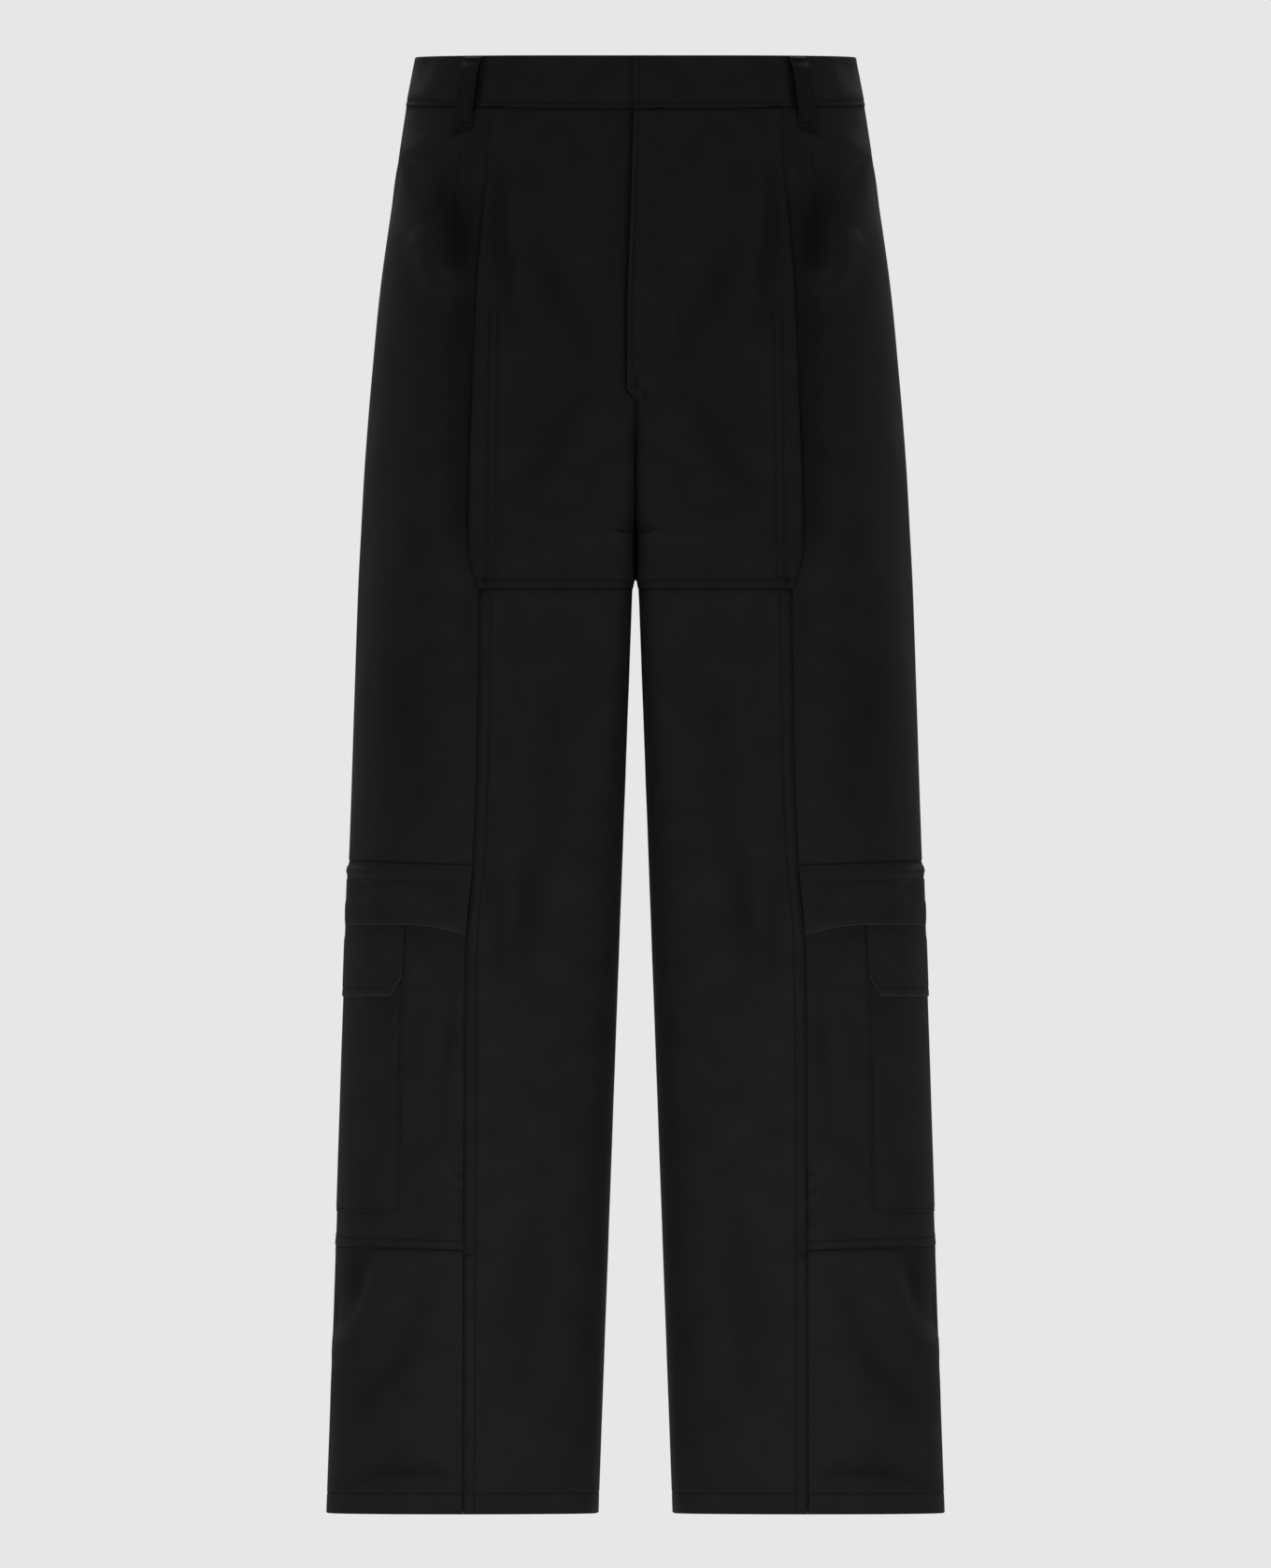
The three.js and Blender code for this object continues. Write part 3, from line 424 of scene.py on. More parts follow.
# %% [markdown]
# ## Folds
# Cloth that hangs from a waistband folds where it is held: below the belt loops, beside the pleat, at the
# crotch and at pocket corners. Simulated cloth would put its folds where it likes. Here each main fold is
# placed one by one as a soft ridge or trough along a short curve, with its own length, width and height. A fold
# is given on the front or the back as x and drop, or on the side as a length from the outline and drop. It
# fades out at both ends, but for one marked start, which fades at its start only, or end.

# %% Main folds
FOLDS = {  # pieces and face: path, width, height and which end fades, where not both do
    ("all", "front"): [
        ([(106, 70), (99, 150), (95, 212)], 8, -4.2),
        ([(92, 84), (84, 196)], 7, 2.6),
        ([(82, 78), (60, 172), (23, 224)], 12, -4.4),
        ([(82, 100), (70, 128), (34, 176)], 11, 4.8),
        ([(21, 262), (46, 316), (74, 374)], 13, 5.2),
        ([(28, 232), (62, 288), (88, 350)], 15, -3.4),
        ([(80, 66), (54, 58), (36, 88)], 8, -2.6),
        ([(126, 96), (131, 200), (134, 320), (132, 384)], 11, -4.4),
        ([(141, 88), (136, 130), (135, 162)], 12, -7.5),
        ([(166, 132), (153, 145), (147, 164), (132, 180)], 9, 6.5),
        ([(148, 152), (133, 163)], 5, -2.8, "end"),
        ([(168, 76), (158, 128)], 16, -3.4),
        ([(130, 400), (122, 446)], 8, -2.8),
        ([(150, 230), (156, 330), (152, 430)], 20, 3.0),
        ([(172, 420), (166, 560)], 20, -3.0),
        ([(72, 574), (76, 625), (84, 684)], 12, -4.4),
        ([(105, 588), (101, 640), (100, 690)], 8, -3.2),
        ([(90, 560), (91, 656)], 9, 2.4),
        ([(40, 430), (62, 520), (66, 600)], 17, -2.8),
        ([(58, 860), (84, 930), (98, 1012)], 18, -3.0),
        ([(112, 892), (110, 925)], 3.5, 1.2),
    ],
    ("side_upper", "front"): [
        ([(133, 54), (145, 69)], 4, -2.8, "end"),
        ([(154, 58), (168, 78)], 8, 2.6),
    ],
    ("side_lower", "front"): [
        ([(200, 872), (210, 912), (222, 950)], 12, -7.5),
        ([(182, 882), (201, 934), (216, 972)], 16, 3.4),
        ([(161, 914), (169, 958), (195, 989), (210, 1014)], 10, -4.0),
        ([(149, 926), (158, 984), (182, 1020)], 12, 3.2),
        ([(222, 1061), (188, 1049), (154, 1049), (127, 1058)], 6, -3.4),
        ([(214, 1040), (173, 1031), (137, 1040)], 9, 3.2),
    ],
    ("front_lower", "front"): [
        ([(120, 1068.5), (106, 1071), (93, 1068)], 2.5, -1.2),
    ],
    ("cargo_flap", "front"): [
        ([(152, 624), (138, 633), (126, 647)], 4, -2.4),
        ([(158, 632), (131, 650)], 4.5, 2.0),
        ([(208, 630), (197, 611)], 6, -1.8),
        ([(176, 612), (160, 640)], 7, 2.0),
        ([(190, 616), (180, 642)], 6, -1.8),
    ],
    ("cargo_pocket", "front"): [
        ([(164, 655), (167, 694), (172, 720)], 5, 2.2),
        ([(146, 652), (148, 712), (158, 764)], 7, 3.2),
        ([(138, 664), (140, 740), (146, 800)], 6, -2.4),
        ([(131, 668), (135, 756)], 5, 2.0),
        ([(170, 842), (154, 817), (129, 800)], 7, 5.4),
        ([(147, 830), (136, 842), (126, 853)], 4.5, -3.8, "start"),
        ([(160, 850), (148, 862), (132, 870)], 5, 4.0),
        ([(152, 845), (140, 857), (127, 865)], 3, -2.6, "start"),
        ([(137, 824), (126, 831)], 2.5, -2.6, "start"),
        ([(135, 842), (126, 844)], 2.5, -2.2, "start"),
    ],
    ("front_upper_l", "front"): [
        ([(30, 42), (14, 68), (0, 92)], 4.5, 2.6),
        ([(43, 44), (27, 74), (10, 104)], 6, 2.4),
    ],
    ("waistband", "front"): [
        ([(150, -4), (157, 8), (162, 26)], 7, -2.2),
        ([(16, 3), (44, 14)], 7, 1.6),
        ([(60, 8), (96, 24)], 10, 1.2),
    ],
    ("waistband_l", "front"): [
        ([(7, 30), (14, 37), (24, 40)], 4, -1.8),
    ],
    ("all", "side"): [
        ([(-62, 925), (-10, 1010)], 22, 1.4),
        ([(-70, 300), (-44, 400), (-40, 470)], 26, -2.0),
        ([(28, 150), (45, 215), (70, 420)], 24, -2.8),
        ([(16, 70), (40, 130)], 16, 1.6),
        ([(86, 180), (96, 300)], 18, 2.0),
        ([(30, 470), (62, 560)], 18, -1.8),
    ],
    ("side_lower", "side"): [
        ([(20, 888), (52, 930), (60, 975)], 14, -3.0),
        ([(52, 890), (88, 950), (92, 1010)], 14, 2.4),
        ([(96, 900), (70, 985), (30, 1036)], 12, -2.0),
        ([(4, 1058), (60, 1046), (118, 1056)], 7, -2.0),
    ],
    ("cargo_pocket", "side"): [
        ([(98, 650), (94, 720), (86, 760)], 7, 2.0),
        ([(70, 838), (96, 816), (124, 804)], 7, 2.4),
        ([(104, 836), (126, 856)], 4.5, 2.2, "start"),
    ],
    ("all", "back"): [
        ([(20, 352), (70, 322), (124, 284)], 16, -4.0),
        ([(16, 330), (60, 296), (104, 252)], 15, 3.0),
        ([(22, 392), (70, 382), (128, 360)], 16, -3.2),
        ([(30, 372), (80, 352), (122, 322)], 13, 2.6),
        ([(38, 436), (84, 432), (130, 408)], 20, -2.0),
        ([(34, 60), (50, 120), (84, 170)], 16, -1.8),
        ([(70, 60), (78, 110)], 9, -1.6),
        ([(92, 62), (100, 130)], 10, 1.4),
        ([(64, 585), (104, 606), (146, 642)], 20, -3.4),
        ([(70, 560), (110, 580), (148, 606)], 18, 2.4),
        ([(74, 712), (116, 694), (154, 666)], 20, -2.8),
        ([(66, 668), (112, 654), (150, 628)], 16, 2.2),
        ([(98, 800), (108, 900), (112, 1010)], 24, -2.4),
        ([(56, 820), (66, 940)], 18, 1.8),
    ],
    ("back", "back"): [
        ([(46, 1052), (96, 1042), (150, 1054)], 7, -2.0),
        ([(60, 1020), (110, 1012)], 12, 1.6),
    ],
}
PATH_STEPS = 14
FOLD_PAINTED_LIGHT = 0.1  # painted highlight on crests and painted shade in troughs, for each mm of a fold's height
FOLD_REACH = 2.6  # a fold is flat past this many widths
UNEVEN = 0.16  # height of the small waves
OUTLINE_RUN = 15.0  # folds fade over this length towards the outline
END_PAST, END_RUN = 4.0, 20.0  # and towards the two ends of a level


def curve_through(points, count=PATH_STEPS):
    """count + 1 points on a smooth curve through the given ones."""
    p = np.array(points, float)
    if len(p) == 2:
        return mix(p[0], p[1], np.linspace(0, 1, count + 1)[:, None])
    slope = np.gradient(p, axis=0)
    t = np.linspace(0, len(p) - 1, count + 1)
    i = np.clip(t.astype(int), 0, len(p) - 2)
    f = (t - i)[:, None]
    return mix(p[i], p[i + 1], f * f * (3 - 2 * f)) + f * (1 - f) ** 2 * slope[i] + f * f * (f - 1) * slope[i + 1]


def fold_height(across, drop, path, width, height, fade="both"):
    """The height of one fold at arrays of places."""
    line = curve_through(path)
    nearest = np.full(across.shape, 1e9)
    share = np.zeros(across.shape)
    for i in range(PATH_STEPS):
        run = line[i + 1] - line[i]
        t = ((across - line[i, 0]) * run[0] + (drop - line[i, 1]) * run[1]) / (run @ run)
        t = np.clip(t, 0, 1)
        gap = np.hypot(across - line[i, 0] - t * run[0], drop - line[i, 1] - t * run[1])
        closer = gap < nearest
        nearest = np.where(closer, gap, nearest)
        share = np.where(closer, (i + t) / PATH_STEPS, share)
    if fade == "both":
        strength = np.sin(math.pi * share) ** 0.7
    else:
        strength = np.sin(math.pi / 2 * (share if fade == "start" else 1 - share)) ** 0.8
    return height * strength * np.exp(-(nearest / width) ** 2)


def relief(drop, s, names):
    """The height of all folds on the named pieces, with the slight unevenness that worn cloth always has."""
    x = on_form(drop, s)[..., 0]
    from_side = s - side_line(drop)
    total = np.zeros(x.shape)
    for (name, face), folds in FOLDS.items():
        across = from_side if face == "side" else x
        for path, width, *rest in folds if name in names else ():
            lows, highs = np.min(path, axis=0) - FOLD_REACH * width, np.max(path, axis=0) + FOLD_REACH * width
            near = (across > lows[0]) & (across < highs[0]) & (drop > lows[1]) & (drop < highs[1])
            if face != "side":
                near &= (from_side <= 0) == (face == "front")
            if near.any():
                total[near] += fold_height(across[near], drop[near], path, width, *rest)
    waves = np.sin(from_side / 9.5 + drop / 31 + 0.4) * np.sin(drop / 21 - from_side / 37)
    waves += 0.6 * np.sin(from_side / 23 - drop / 13 + 1.9)
    side_calm = np.clip(np.abs(from_side) / OUTLINE_RUN, 0, 1)
    ends_calm = np.clip((np.minimum(s, total_line(drop) - s) + END_PAST) / END_RUN, 0, 1)
    return (total + UNEVEN * waves) * side_calm * ends_calm


# %% [markdown]
# ## Cut pieces
# Each piece is a fine grid of quads between four borders, moved out of the form by its own lift, with an
# inner wall and a rounded rim. Its lift holds the folds, the ridge where seam allowances lie beneath, the
# ditch that each stitch row presses in, and the small puckers of a sewn edge. The same lift also carries the
# stitches, so they always lie on their cloth. The piece's UV map is the length along the level and the
# drop in metres, as on the flat pattern, so the weave runs with the cloth.

# %% Edges
ROLL = {  # radius, share of the cloth
    "seam": (1.9, 0.48), "fold": (1.1, 0.46), "hidden": (0.8, 0.3), "flush": (0.8, 0.0),
}
RIDGE_RUN = (7.0, 11.0)  # seam allowances end between these distances from the edge
DITCH_WIDTH, DITCH_DEPTH = 0.9, 0.36
DITCH_GRID = (-1.5, -0.6, 0.0, 0.6, 1.5)  # grid lines beside a stitch row
CLOSEST = 0.3  # grid lines nearer than this are left out
SEAM_SUNK = 0.47  # only folded edges are rounded on their inner side too
SEAM_SHADE, SEAM_SHADE_WIDTH, ROW_SHADE = 0.72, 0.95, 0.5  # painted shade along seams and in stitch ditches
EDGE_WEAR_LIGHT_RUN = 1.6  # a rubbed edge, partly a painted highlight, is paler over this distance
PUCKER_PITCH, PUCKER_HEIGHT, PUCKER_RUN = 8.7, 0.26, 6.0


def ease(t):
    """A soft step from 0 to 1."""
    t = np.clip(t, 0, 1)
    return t * t * (3 - 2 * t)


def pucker(distance, run, seed):
    """Small ripples that run out from a sewn edge."""
    phase = 2 * math.pi * run / PUCKER_PITCH + 1.4 * np.sin(run / 15 + seed) + seed
    strength = 0.55 + 0.45 * np.sin(run / 33 + 2.3 * seed)
    return PUCKER_HEIGHT * strength * np.sin(phase) * np.exp(-(distance / PUCKER_RUN) ** 2)


class Edge:
    """What one border of a piece does: how it is finished, its stitch rows and its ridge."""

    def __init__(self, kind="seam", rows=(), ridge=0.0, ripple=1.0, worn=0.0, shade=None):
        self.kind, self.rows, self.ridge, self.ripple, self.worn = kind, rows, ridge, ripple, worn
        # shade paints shade along the border; a rubbed edge is paler, partly as a painted highlight
        self.shade = (SEAM_SHADE if kind == "seam" else 0.0) if shade is None else shade

    def height(self, distance, run, seed):
        total = self.ripple * pucker(distance, run, seed)
        if self.ridge:
            total = total + self.ridge * (1 - ease((distance - RIDGE_RUN[0]) / (RIDGE_RUN[1] - RIDGE_RUN[0])))
        for row in self.rows:
            total = total - DITCH_DEPTH * np.exp(-((distance - row) / DITCH_WIDTH) ** 2)
        return total

    def offsets(self, cell):
        """Distances from the border at which the grid needs a line."""
        radius = ROLL[self.kind][0]
        wanted = [0, 0.35 * radius, radius]
        for row in self.rows:
            wanted += [row + step for step in DITCH_GRID]
        if self.ridge:
            wanted += [RIDGE_RUN[0], mix(*RIDGE_RUN, 0.5), RIDGE_RUN[1]]
        kept = [0.0]
        for place in sorted(w for w in wanted if w > 0):
            if place - kept[-1] > CLOSEST:
                kept.append(place)
        return kept


def grid_lines(length, cell, first, last):
    """Lines across a piece, each as a share of its width and an offset in millimetres."""
    count = max(2, round((length - first[-1] - last[-1]) / cell))
    u = np.arange(1, count) / count
    share = np.concatenate([np.zeros(len(first)), u, np.ones(len(last))])
    offset = np.concatenate([first, mix(first[-1], -last[-1], u), -np.array(last[::-1])])
    return share, offset


# %% Mesh from a grid
def new_object(name, vertices, faces, material):
    """A mesh object at the origin from numpy arrays of vertices (in metres) and faces of equal size."""
    mesh = bpy.data.meshes.new(name)
    mesh.vertices.add(len(vertices))
    mesh.vertices.foreach_set("co", np.asarray(vertices, np.float32).ravel())
    corners = faces.shape[1]
    mesh.loops.add(faces.size)
    mesh.loops.foreach_set("vertex_index", faces.astype(np.int32).ravel())
    mesh.polygons.add(len(faces))
    mesh.polygons.foreach_set("loop_start", np.arange(0, faces.size, corners, dtype=np.int32))
    mesh.polygons.foreach_set("use_smooth", np.ones(len(faces), bool))
    mesh.update(calc_edges=True)
    mesh.materials.append(material)
    obj = bpy.data.objects.new(name, mesh)
    bpy.context.scene.collection.objects.link(obj)
    return obj


def wall_faces(rows, columns):
    """Quads of a closed wall: its outer grid, its inner grid and the rim between them."""
    index = np.arange(rows * columns).reshape(rows, columns)
    back = index + rows * columns

    def quads(a, b, c, d):
        return np.stack([a, b, c, d], axis=-1).reshape(-1, 4)

    return np.concatenate([
        quads(index[:-1, :-1], index[1:, :-1], index[1:, 1:], index[:-1, 1:]),
        quads(back[:-1, :-1], back[:-1, 1:], back[1:, 1:], back[1:, :-1]),
        quads(index[0, :-1], index[0, 1:], back[0, 1:], back[0, :-1]),
        quads(index[-1, 1:], index[-1, :-1], back[-1, :-1], back[-1, 1:]),
        quads(index[1:, 0], index[:-1, 0], back[:-1, 0], back[1:, 0]),
        quads(index[:-1, -1], index[1:, -1], back[1:, -1], back[:-1, -1]),
    ])


PIECES = {}


def field(value):
    """The function that was given, or one that gives the same number everywhere."""
    return value if callable(value) else lambda *places: np.full(np.shape(places[0]), float(value))


class Piece:
    """One cut piece of cloth between a left and a right line along the levels, and a top and a bottom."""

    def __init__(self, name, first, last, high, low, lift=0.0, thick=CLOTH, cell=3.5, **edges):
        self.name = name
        self.left, self.right, self.top, self.bottom = field(first), field(last), field(high), field(low)
        self.lift, self.thick = field(lift), field(thick)
        self.cell = cell
        self.edges = {key: edges.get(key, Edge()) for key in ("left", "right", "top", "bottom")}
        self.seed = sum(map(ord, name)) % 17
        self.folds = edges.get("folds", ("all", name.rsplit("_", 1)[0], name))
        self.more_rows = edges.get("more_rows", ())  # drops where the grid needs a row
        # Painted shade that darkens the piece's colour where shadows fall on it.
        self.tint = edges.get("tint", field(0.0))

    def distances(self, drop, s):
        """How far each place is from the four borders."""
        a, b = s - self.left(drop), self.right(drop) - s
        x = on_form(drop, s)[..., 0]
        return {"left": a, "right": b, "top": drop - self.top(x, a, b), "bottom": self.bottom(x, a, b) - drop}

    def height(self, drop, s):
        """The whole lift of the piece's outer face."""
        total = self.lift(drop, s) + relief(drop, s, self.folds) + rise_lift(drop, s)
        away = self.distances(drop, s)
        for i, (key, edge) in enumerate(self.edges.items()):
            run = s if key in ("top", "bottom") else drop
            total = total + edge.height(away[key], run, self.seed + i)
        return total

    def place(self, drop, s, lift):
        form = on_form(drop, s)
        return np.stack([form[..., 0] + form[..., 2] * lift, form[..., 1] + form[..., 3] * lift, -drop], axis=-1)

    def grid(self):
        """Drops and lengths of the piece's grid."""
        inland = [np.array([v]) for v in (100.0, 50.0, 50.0)]  # an x and the distances from both sides
        high, low = self.top(*inland)[0], self.bottom(*inland)[0]
        levels = np.array([high, (high + low) / 2, low])
        width = float(np.max(self.right(levels) - self.left(levels)))
        share, offset = grid_lines(width, self.cell, self.edges["left"].offsets(self.cell),
                                   self.edges["right"].offsets(self.cell))
        down, down_offset = grid_lines(low - high, self.cell, self.edges["top"].offsets(self.cell),
                                       self.edges["bottom"].offsets(self.cell))

        def border(read, nominal):
            level_drop = np.full(len(share), nominal)
            s = mix(self.left(level_drop), self.right(level_drop), share) + offset
            return read(on_form(level_drop, s)[:, 0], s - self.left(level_drop), self.right(level_drop) - s)

        top, bottom = border(self.top, high), border(self.bottom, low)
        drop = mix(top[None, :], bottom[None, :], down[:, None]) + down_offset[:, None]
        for extra in self.more_rows:
            row = np.argmin(np.abs(drop[:, 0] - extra))
            drop[row] = extra
        s = mix(self.left(drop), self.right(drop), share[None, :]) + offset[None, :]
        return drop, s

    def build(self, material, mirrored):
        """Makes the piece's object, with its UV map and its values of wear and painted light and shade."""
        drop, s = self.grid()
        lift = self.height(drop, s)
        thick = self.thick(drop, s)
        away = self.distances(drop, s)
        sunk = np.zeros(drop.shape)
        # Painted shade that the piece adds, with fold crests painted paler and troughs darker as painted light and
        # shade.
        worn = self.tint(drop, s) + FOLD_PAINTED_LIGHT * relief(drop, s, self.folds)
        rows, columns = drop.shape
        steps_in = {"left": np.arange(columns)[None, :], "right": np.arange(columns)[None, ::-1],
                    "top": np.arange(rows)[:, None], "bottom": np.arange(rows)[::-1, None]}
        for key, edge in self.edges.items():
            radius, share = ROLL[edge.kind]
            distance = np.where(steps_in[key] == 0, 0.0, np.maximum(away[key], 0))
            # Seams and stitch ditches get painted shade, and a rubbed edge is paler, partly as a painted
            # highlight.
            if edge.shade:
                worn = np.minimum(worn, -edge.shade * np.exp(-(distance / SEAM_SHADE_WIDTH) ** 2))
            for row in edge.rows:
                worn = np.minimum(worn, -ROW_SHADE * np.exp(-((distance - row) / DITCH_WIDTH) ** 2))
            t = 1 - np.clip(distance / radius, 0, 1)
            sunk = np.maximum(sunk, share * (1 - np.sqrt(1 - t * t)))
            if edge.worn:
                worn = np.maximum(worn, edge.worn * np.exp(-distance / EDGE_WEAR_LIGHT_RUN))
        outer = self.place(drop, s, lift - sunk * thick)
        inner = self.place(drop, s, lift - thick + np.where(sunk > SEAM_SUNK, 0, sunk) * thick)
        vertices = np.concatenate([outer.reshape(-1, 3), inner.reshape(-1, 3)]) * MM
        faces = wall_faces(rows, columns)
        if mirrored:
            vertices[:, 0] *= -1
            faces = faces[:, ::-1]
        obj = new_object(self.name + "_cloth", vertices, faces, material)
        flat = np.stack([(s - side_line(drop)).ravel(), -drop.ravel()], axis=1) * MM
        uv = np.concatenate([flat, flat])[faces.ravel()]
        obj.data.uv_layers.new(name="pattern").data.foreach_set("uv", uv.astype(np.float32).ravel())
        wear = obj.data.attributes.new("wear", "FLOAT", "POINT")
        wear.data.foreach_set("value", np.concatenate([worn.ravel(), worn.ravel()]).astype(np.float32))
        self.measure(outer)
        self.mirrored = mirrored
        PIECES[self.name] = obj

    def measure(self, outer):
        """The size that the piece is cut to: its widest row, its longest column and its area, in metres."""
        across = np.linalg.norm(np.diff(outer, axis=1), axis=2)
        down = np.linalg.norm(np.diff(outer, axis=0), axis=2)
        self.flat = (float(across.sum(1).max()) * MM, float(down.sum(0).max()) * MM)
        cross = np.cross(outer[1:, :-1] - outer[:-1, :-1], outer[:-1, 1:] - outer[:-1, :-1])
        self.area = float(np.linalg.norm(cross, axis=2).sum()) * MM * MM


# %% [markdown]
# ## Twill
# The cloth is a fine cotton twill, dyed near black. A twill weave shows slanting lines about half a
# millimetre apart, too fine for a picture of the whole garment, so here they are drawn at 1.3 mm and very
# faint, with the grain of the yarn between them. Brushed cotton hardly shines: the specular level is low and
# a little sheen lifts the grazing parts. The value of wear and painted light at each vertex makes folded edges
# paler, as rubbing and as a painted highlight, paints fold crests paler as a painted highlight, and paints seams,
# ditches, troughs and the places beside raised parts darker as painted shade. The pattern follows the pieces' UV
# map.

# %% Materials
def add_node(tree, kind, settings=None, **inputs):
    """Adds a node, sets its properties and sets or links its inputs, by socket name or number."""
    node = tree.nodes.new(kind)
    for key, value in (settings or {}).items():
        setattr(node, key, value)
    for key, value in inputs.items():
        numbered = key[0] == "_" and key[1:].isdigit()
        socket = node.inputs[int(key[1:]) if numbered else key.replace("_", " ")]
        if isinstance(value, bpy.types.NodeSocket):
            tree.links.new(value, socket)
        else:
            socket.default_value = value
    return node


def new_material(name):
    """A new material with its node tree and its shader."""
    material = bpy.data.materials.new(name)
    material.use_nodes = True
    return material, material.node_tree, material.node_tree.nodes["Principled BSDF"]


def ramp(tree, value, low, high, colours):
    """A colour ramp between two places, from dark to pale."""
    node = add_node(tree, "ShaderNodeValToRGB", _0=value)
    node.color_ramp.elements[0].position = low
    node.color_ramp.elements[1].position = high
    for element, colour in zip(node.color_ramp.elements, colours):
        element.color = to_linear(colour)
    return node.outputs["Color"]


TWILL_PITCH = 0.0013
GRAIN = 0.0009
WAVE_PERIOD = 2 * math.pi / 20  # of a wave texture at scale 1


def weave(tree, angle):
    """The slanting lines and the grain, as two values from 0 to 1."""
    flat = add_node(tree, "ShaderNodeUVMap", {"uv_map": "pattern"}).outputs["UV"]
    turned = add_node(tree, "ShaderNodeMapping", _0=flat, Rotation=(0, 0, math.radians(angle))).outputs[0]
    lines = add_node(tree, "ShaderNodeTexWave", Vector=turned, Scale=WAVE_PERIOD / TWILL_PITCH,
                     Distortion=1.5, Detail=1.0, Detail_Scale=2.0).outputs["Fac"]
    grain = add_node(tree, "ShaderNodeTexNoise", Vector=flat, Scale=1 / GRAIN, Detail=2.0,
                     Roughness=0.6).outputs["Fac"]
    return flat, lines, grain


def twill_material():
    material, tree, shader = new_material("black_cotton_twill")
    flat, lines, grain = weave(tree, 62)
    mottle = add_node(tree, "ShaderNodeTexNoise", Vector=flat, Scale=38.0, Detail=3.0).outputs["Fac"]
    yarn = add_node(tree, "ShaderNodeMath", {"operation": "MULTIPLY_ADD"}, _0=lines, _1=0.28, _2=grain).outputs[0]
    base = ramp(tree, yarn, 0.4, 0.84, ("#0b0b0c", "#1d1d1f"))
    faded = ramp(tree, mottle, 0.3, 0.75, ("#d9d9dc", "#ffffff"))
    toned = add_node(tree, "ShaderNodeMix", {"data_type": "RGBA", "blend_type": "MULTIPLY"},
                     _0=1.0, _6=base, _7=faded).outputs[2]
    wear = add_node(tree, "ShaderNodeAttribute", {"attribute_name": "wear"}).outputs["Fac"]
    rubbed_and_lit_share = add_node(tree, "ShaderNodeMath", {"operation": "MULTIPLY"}, _0=wear, _1=0.6).outputs[0]
    # Rubbed edges and painted highlights mix the cloth towards a paler grey.
    rubbed_and_lit = add_node(tree, "ShaderNodeMix", {"data_type": "RGBA"},
                     _0=rubbed_and_lit_share, _6=toned, _7=to_linear("#29282c")).outputs[2]
    # Painted shade mixes the cloth towards near black.
    painted_shade_share = add_node(tree, "ShaderNodeMath", {"operation": "MULTIPLY"}, _0=wear, _1=-0.9).outputs[0]
    coloured = add_node(tree, "ShaderNodeMix", {"data_type": "RGBA"},
                        _0=painted_shade_share, _6=rubbed_and_lit, _7=to_linear("#020203")).outputs[2]
    tree.links.new(coloured, shader.inputs["Base Color"])
    rough = add_node(tree, "ShaderNodeMapRange", Value=grain, From_Min=0.3, From_Max=0.7,
                     To_Min=0.72, To_Max=0.9).outputs[0]
    tree.links.new(rough, shader.inputs["Roughness"])
    bump = add_node(tree, "ShaderNodeBump", Strength=0.35, Distance=0.0003, Height=yarn).outputs[0]
    tree.links.new(bump, shader.inputs["Normal"])
    shader.inputs["Specular IOR Level"].default_value = 0.1
    shader.inputs["Sheen Weight"].default_value = 0.02
    shader.inputs["Sheen Roughness"].default_value = 0.55
    shader.inputs["Sheen Tint"].default_value = to_linear("#dadae4")
    return material


TWILL = twill_material()


# %% [markdown]
# The thread is a polyester core thread, as black as the cloth but smoother, so each stitch catches a small
# light. The zip tape is a plain woven tape, and the hook, bar, teeth and slider are metal with a satin black
# oxide finish. The floor is matt paper.

# %% Thread, tape, metal and floor
def flecked_material(name, scale, detail, low, high, colours):
    """A material whose colour wavers between two on the piece's own Object coordinates, and its pattern."""
    material, tree, shader = new_material(name)
    place = add_node(tree, "ShaderNodeTexCoord").outputs["Object"]
    fleck = add_node(tree, "ShaderNodeTexNoise", Vector=place, Scale=scale, Detail=detail).outputs["Fac"]
    tree.links.new(ramp(tree, fleck, low, high, colours), shader.inputs["Base Color"])
    return material, tree, shader, fleck


def thread_material():
    material, _, shader, _ = flecked_material("black_sewing_thread", 1600.0, 1.0, 0.3, 0.7, ("#0c0b0d", "#131215"))
    shader.inputs["Roughness"].default_value = 0.75
    shader.inputs["Specular IOR Level"].default_value = 0.1
    return material


def tape_material():
    material, tree, shader = new_material("woven_zip_tape")
    _, lines, _ = weave(tree, 0)
    tree.links.new(ramp(tree, lines, 0.2, 0.9, ("#0e0e10", "#1a1a1d")), shader.inputs["Base Color"])
    bump = add_node(tree, "ShaderNodeBump", Strength=0.4, Distance=0.0003, Height=lines).outputs[0]
    tree.links.new(bump, shader.inputs["Normal"])
    shader.inputs["Roughness"].default_value = 0.8
    shader.inputs["Specular IOR Level"].default_value = 0.25
    return material


def oxide_material():
    material, tree, shader, cloud = flecked_material(
        "black_oxide_metal", 420.0, 3.0, 0.35, 0.7, ("#26262a", "#34343a"))
    rough = add_node(tree, "ShaderNodeMapRange", Value=cloud, From_Min=0.3, From_Max=0.7,
                     To_Min=0.34, To_Max=0.5).outputs[0]
    tree.links.new(rough, shader.inputs["Roughness"])
    shader.inputs["Metallic"].default_value = 1.0
    return material


def floor_material():
    material, _, shader, _ = flecked_material("matt_paper_floor", 60.0, 2.0, 0.3, 0.7, ("#6a6a6a", "#707070"))
    shader.inputs["Roughness"].default_value = 0.9
    shader.inputs["Specular IOR Level"].default_value = 0.1
    shader.inputs["Emission Color"].default_value = to_linear(GROUND)
    shader.inputs["Emission Strength"].default_value = 0.56
    return material


THREAD, TAPE, OXIDE = thread_material(), tape_material(), oxide_material()
floor.data.materials.append(floor_material())

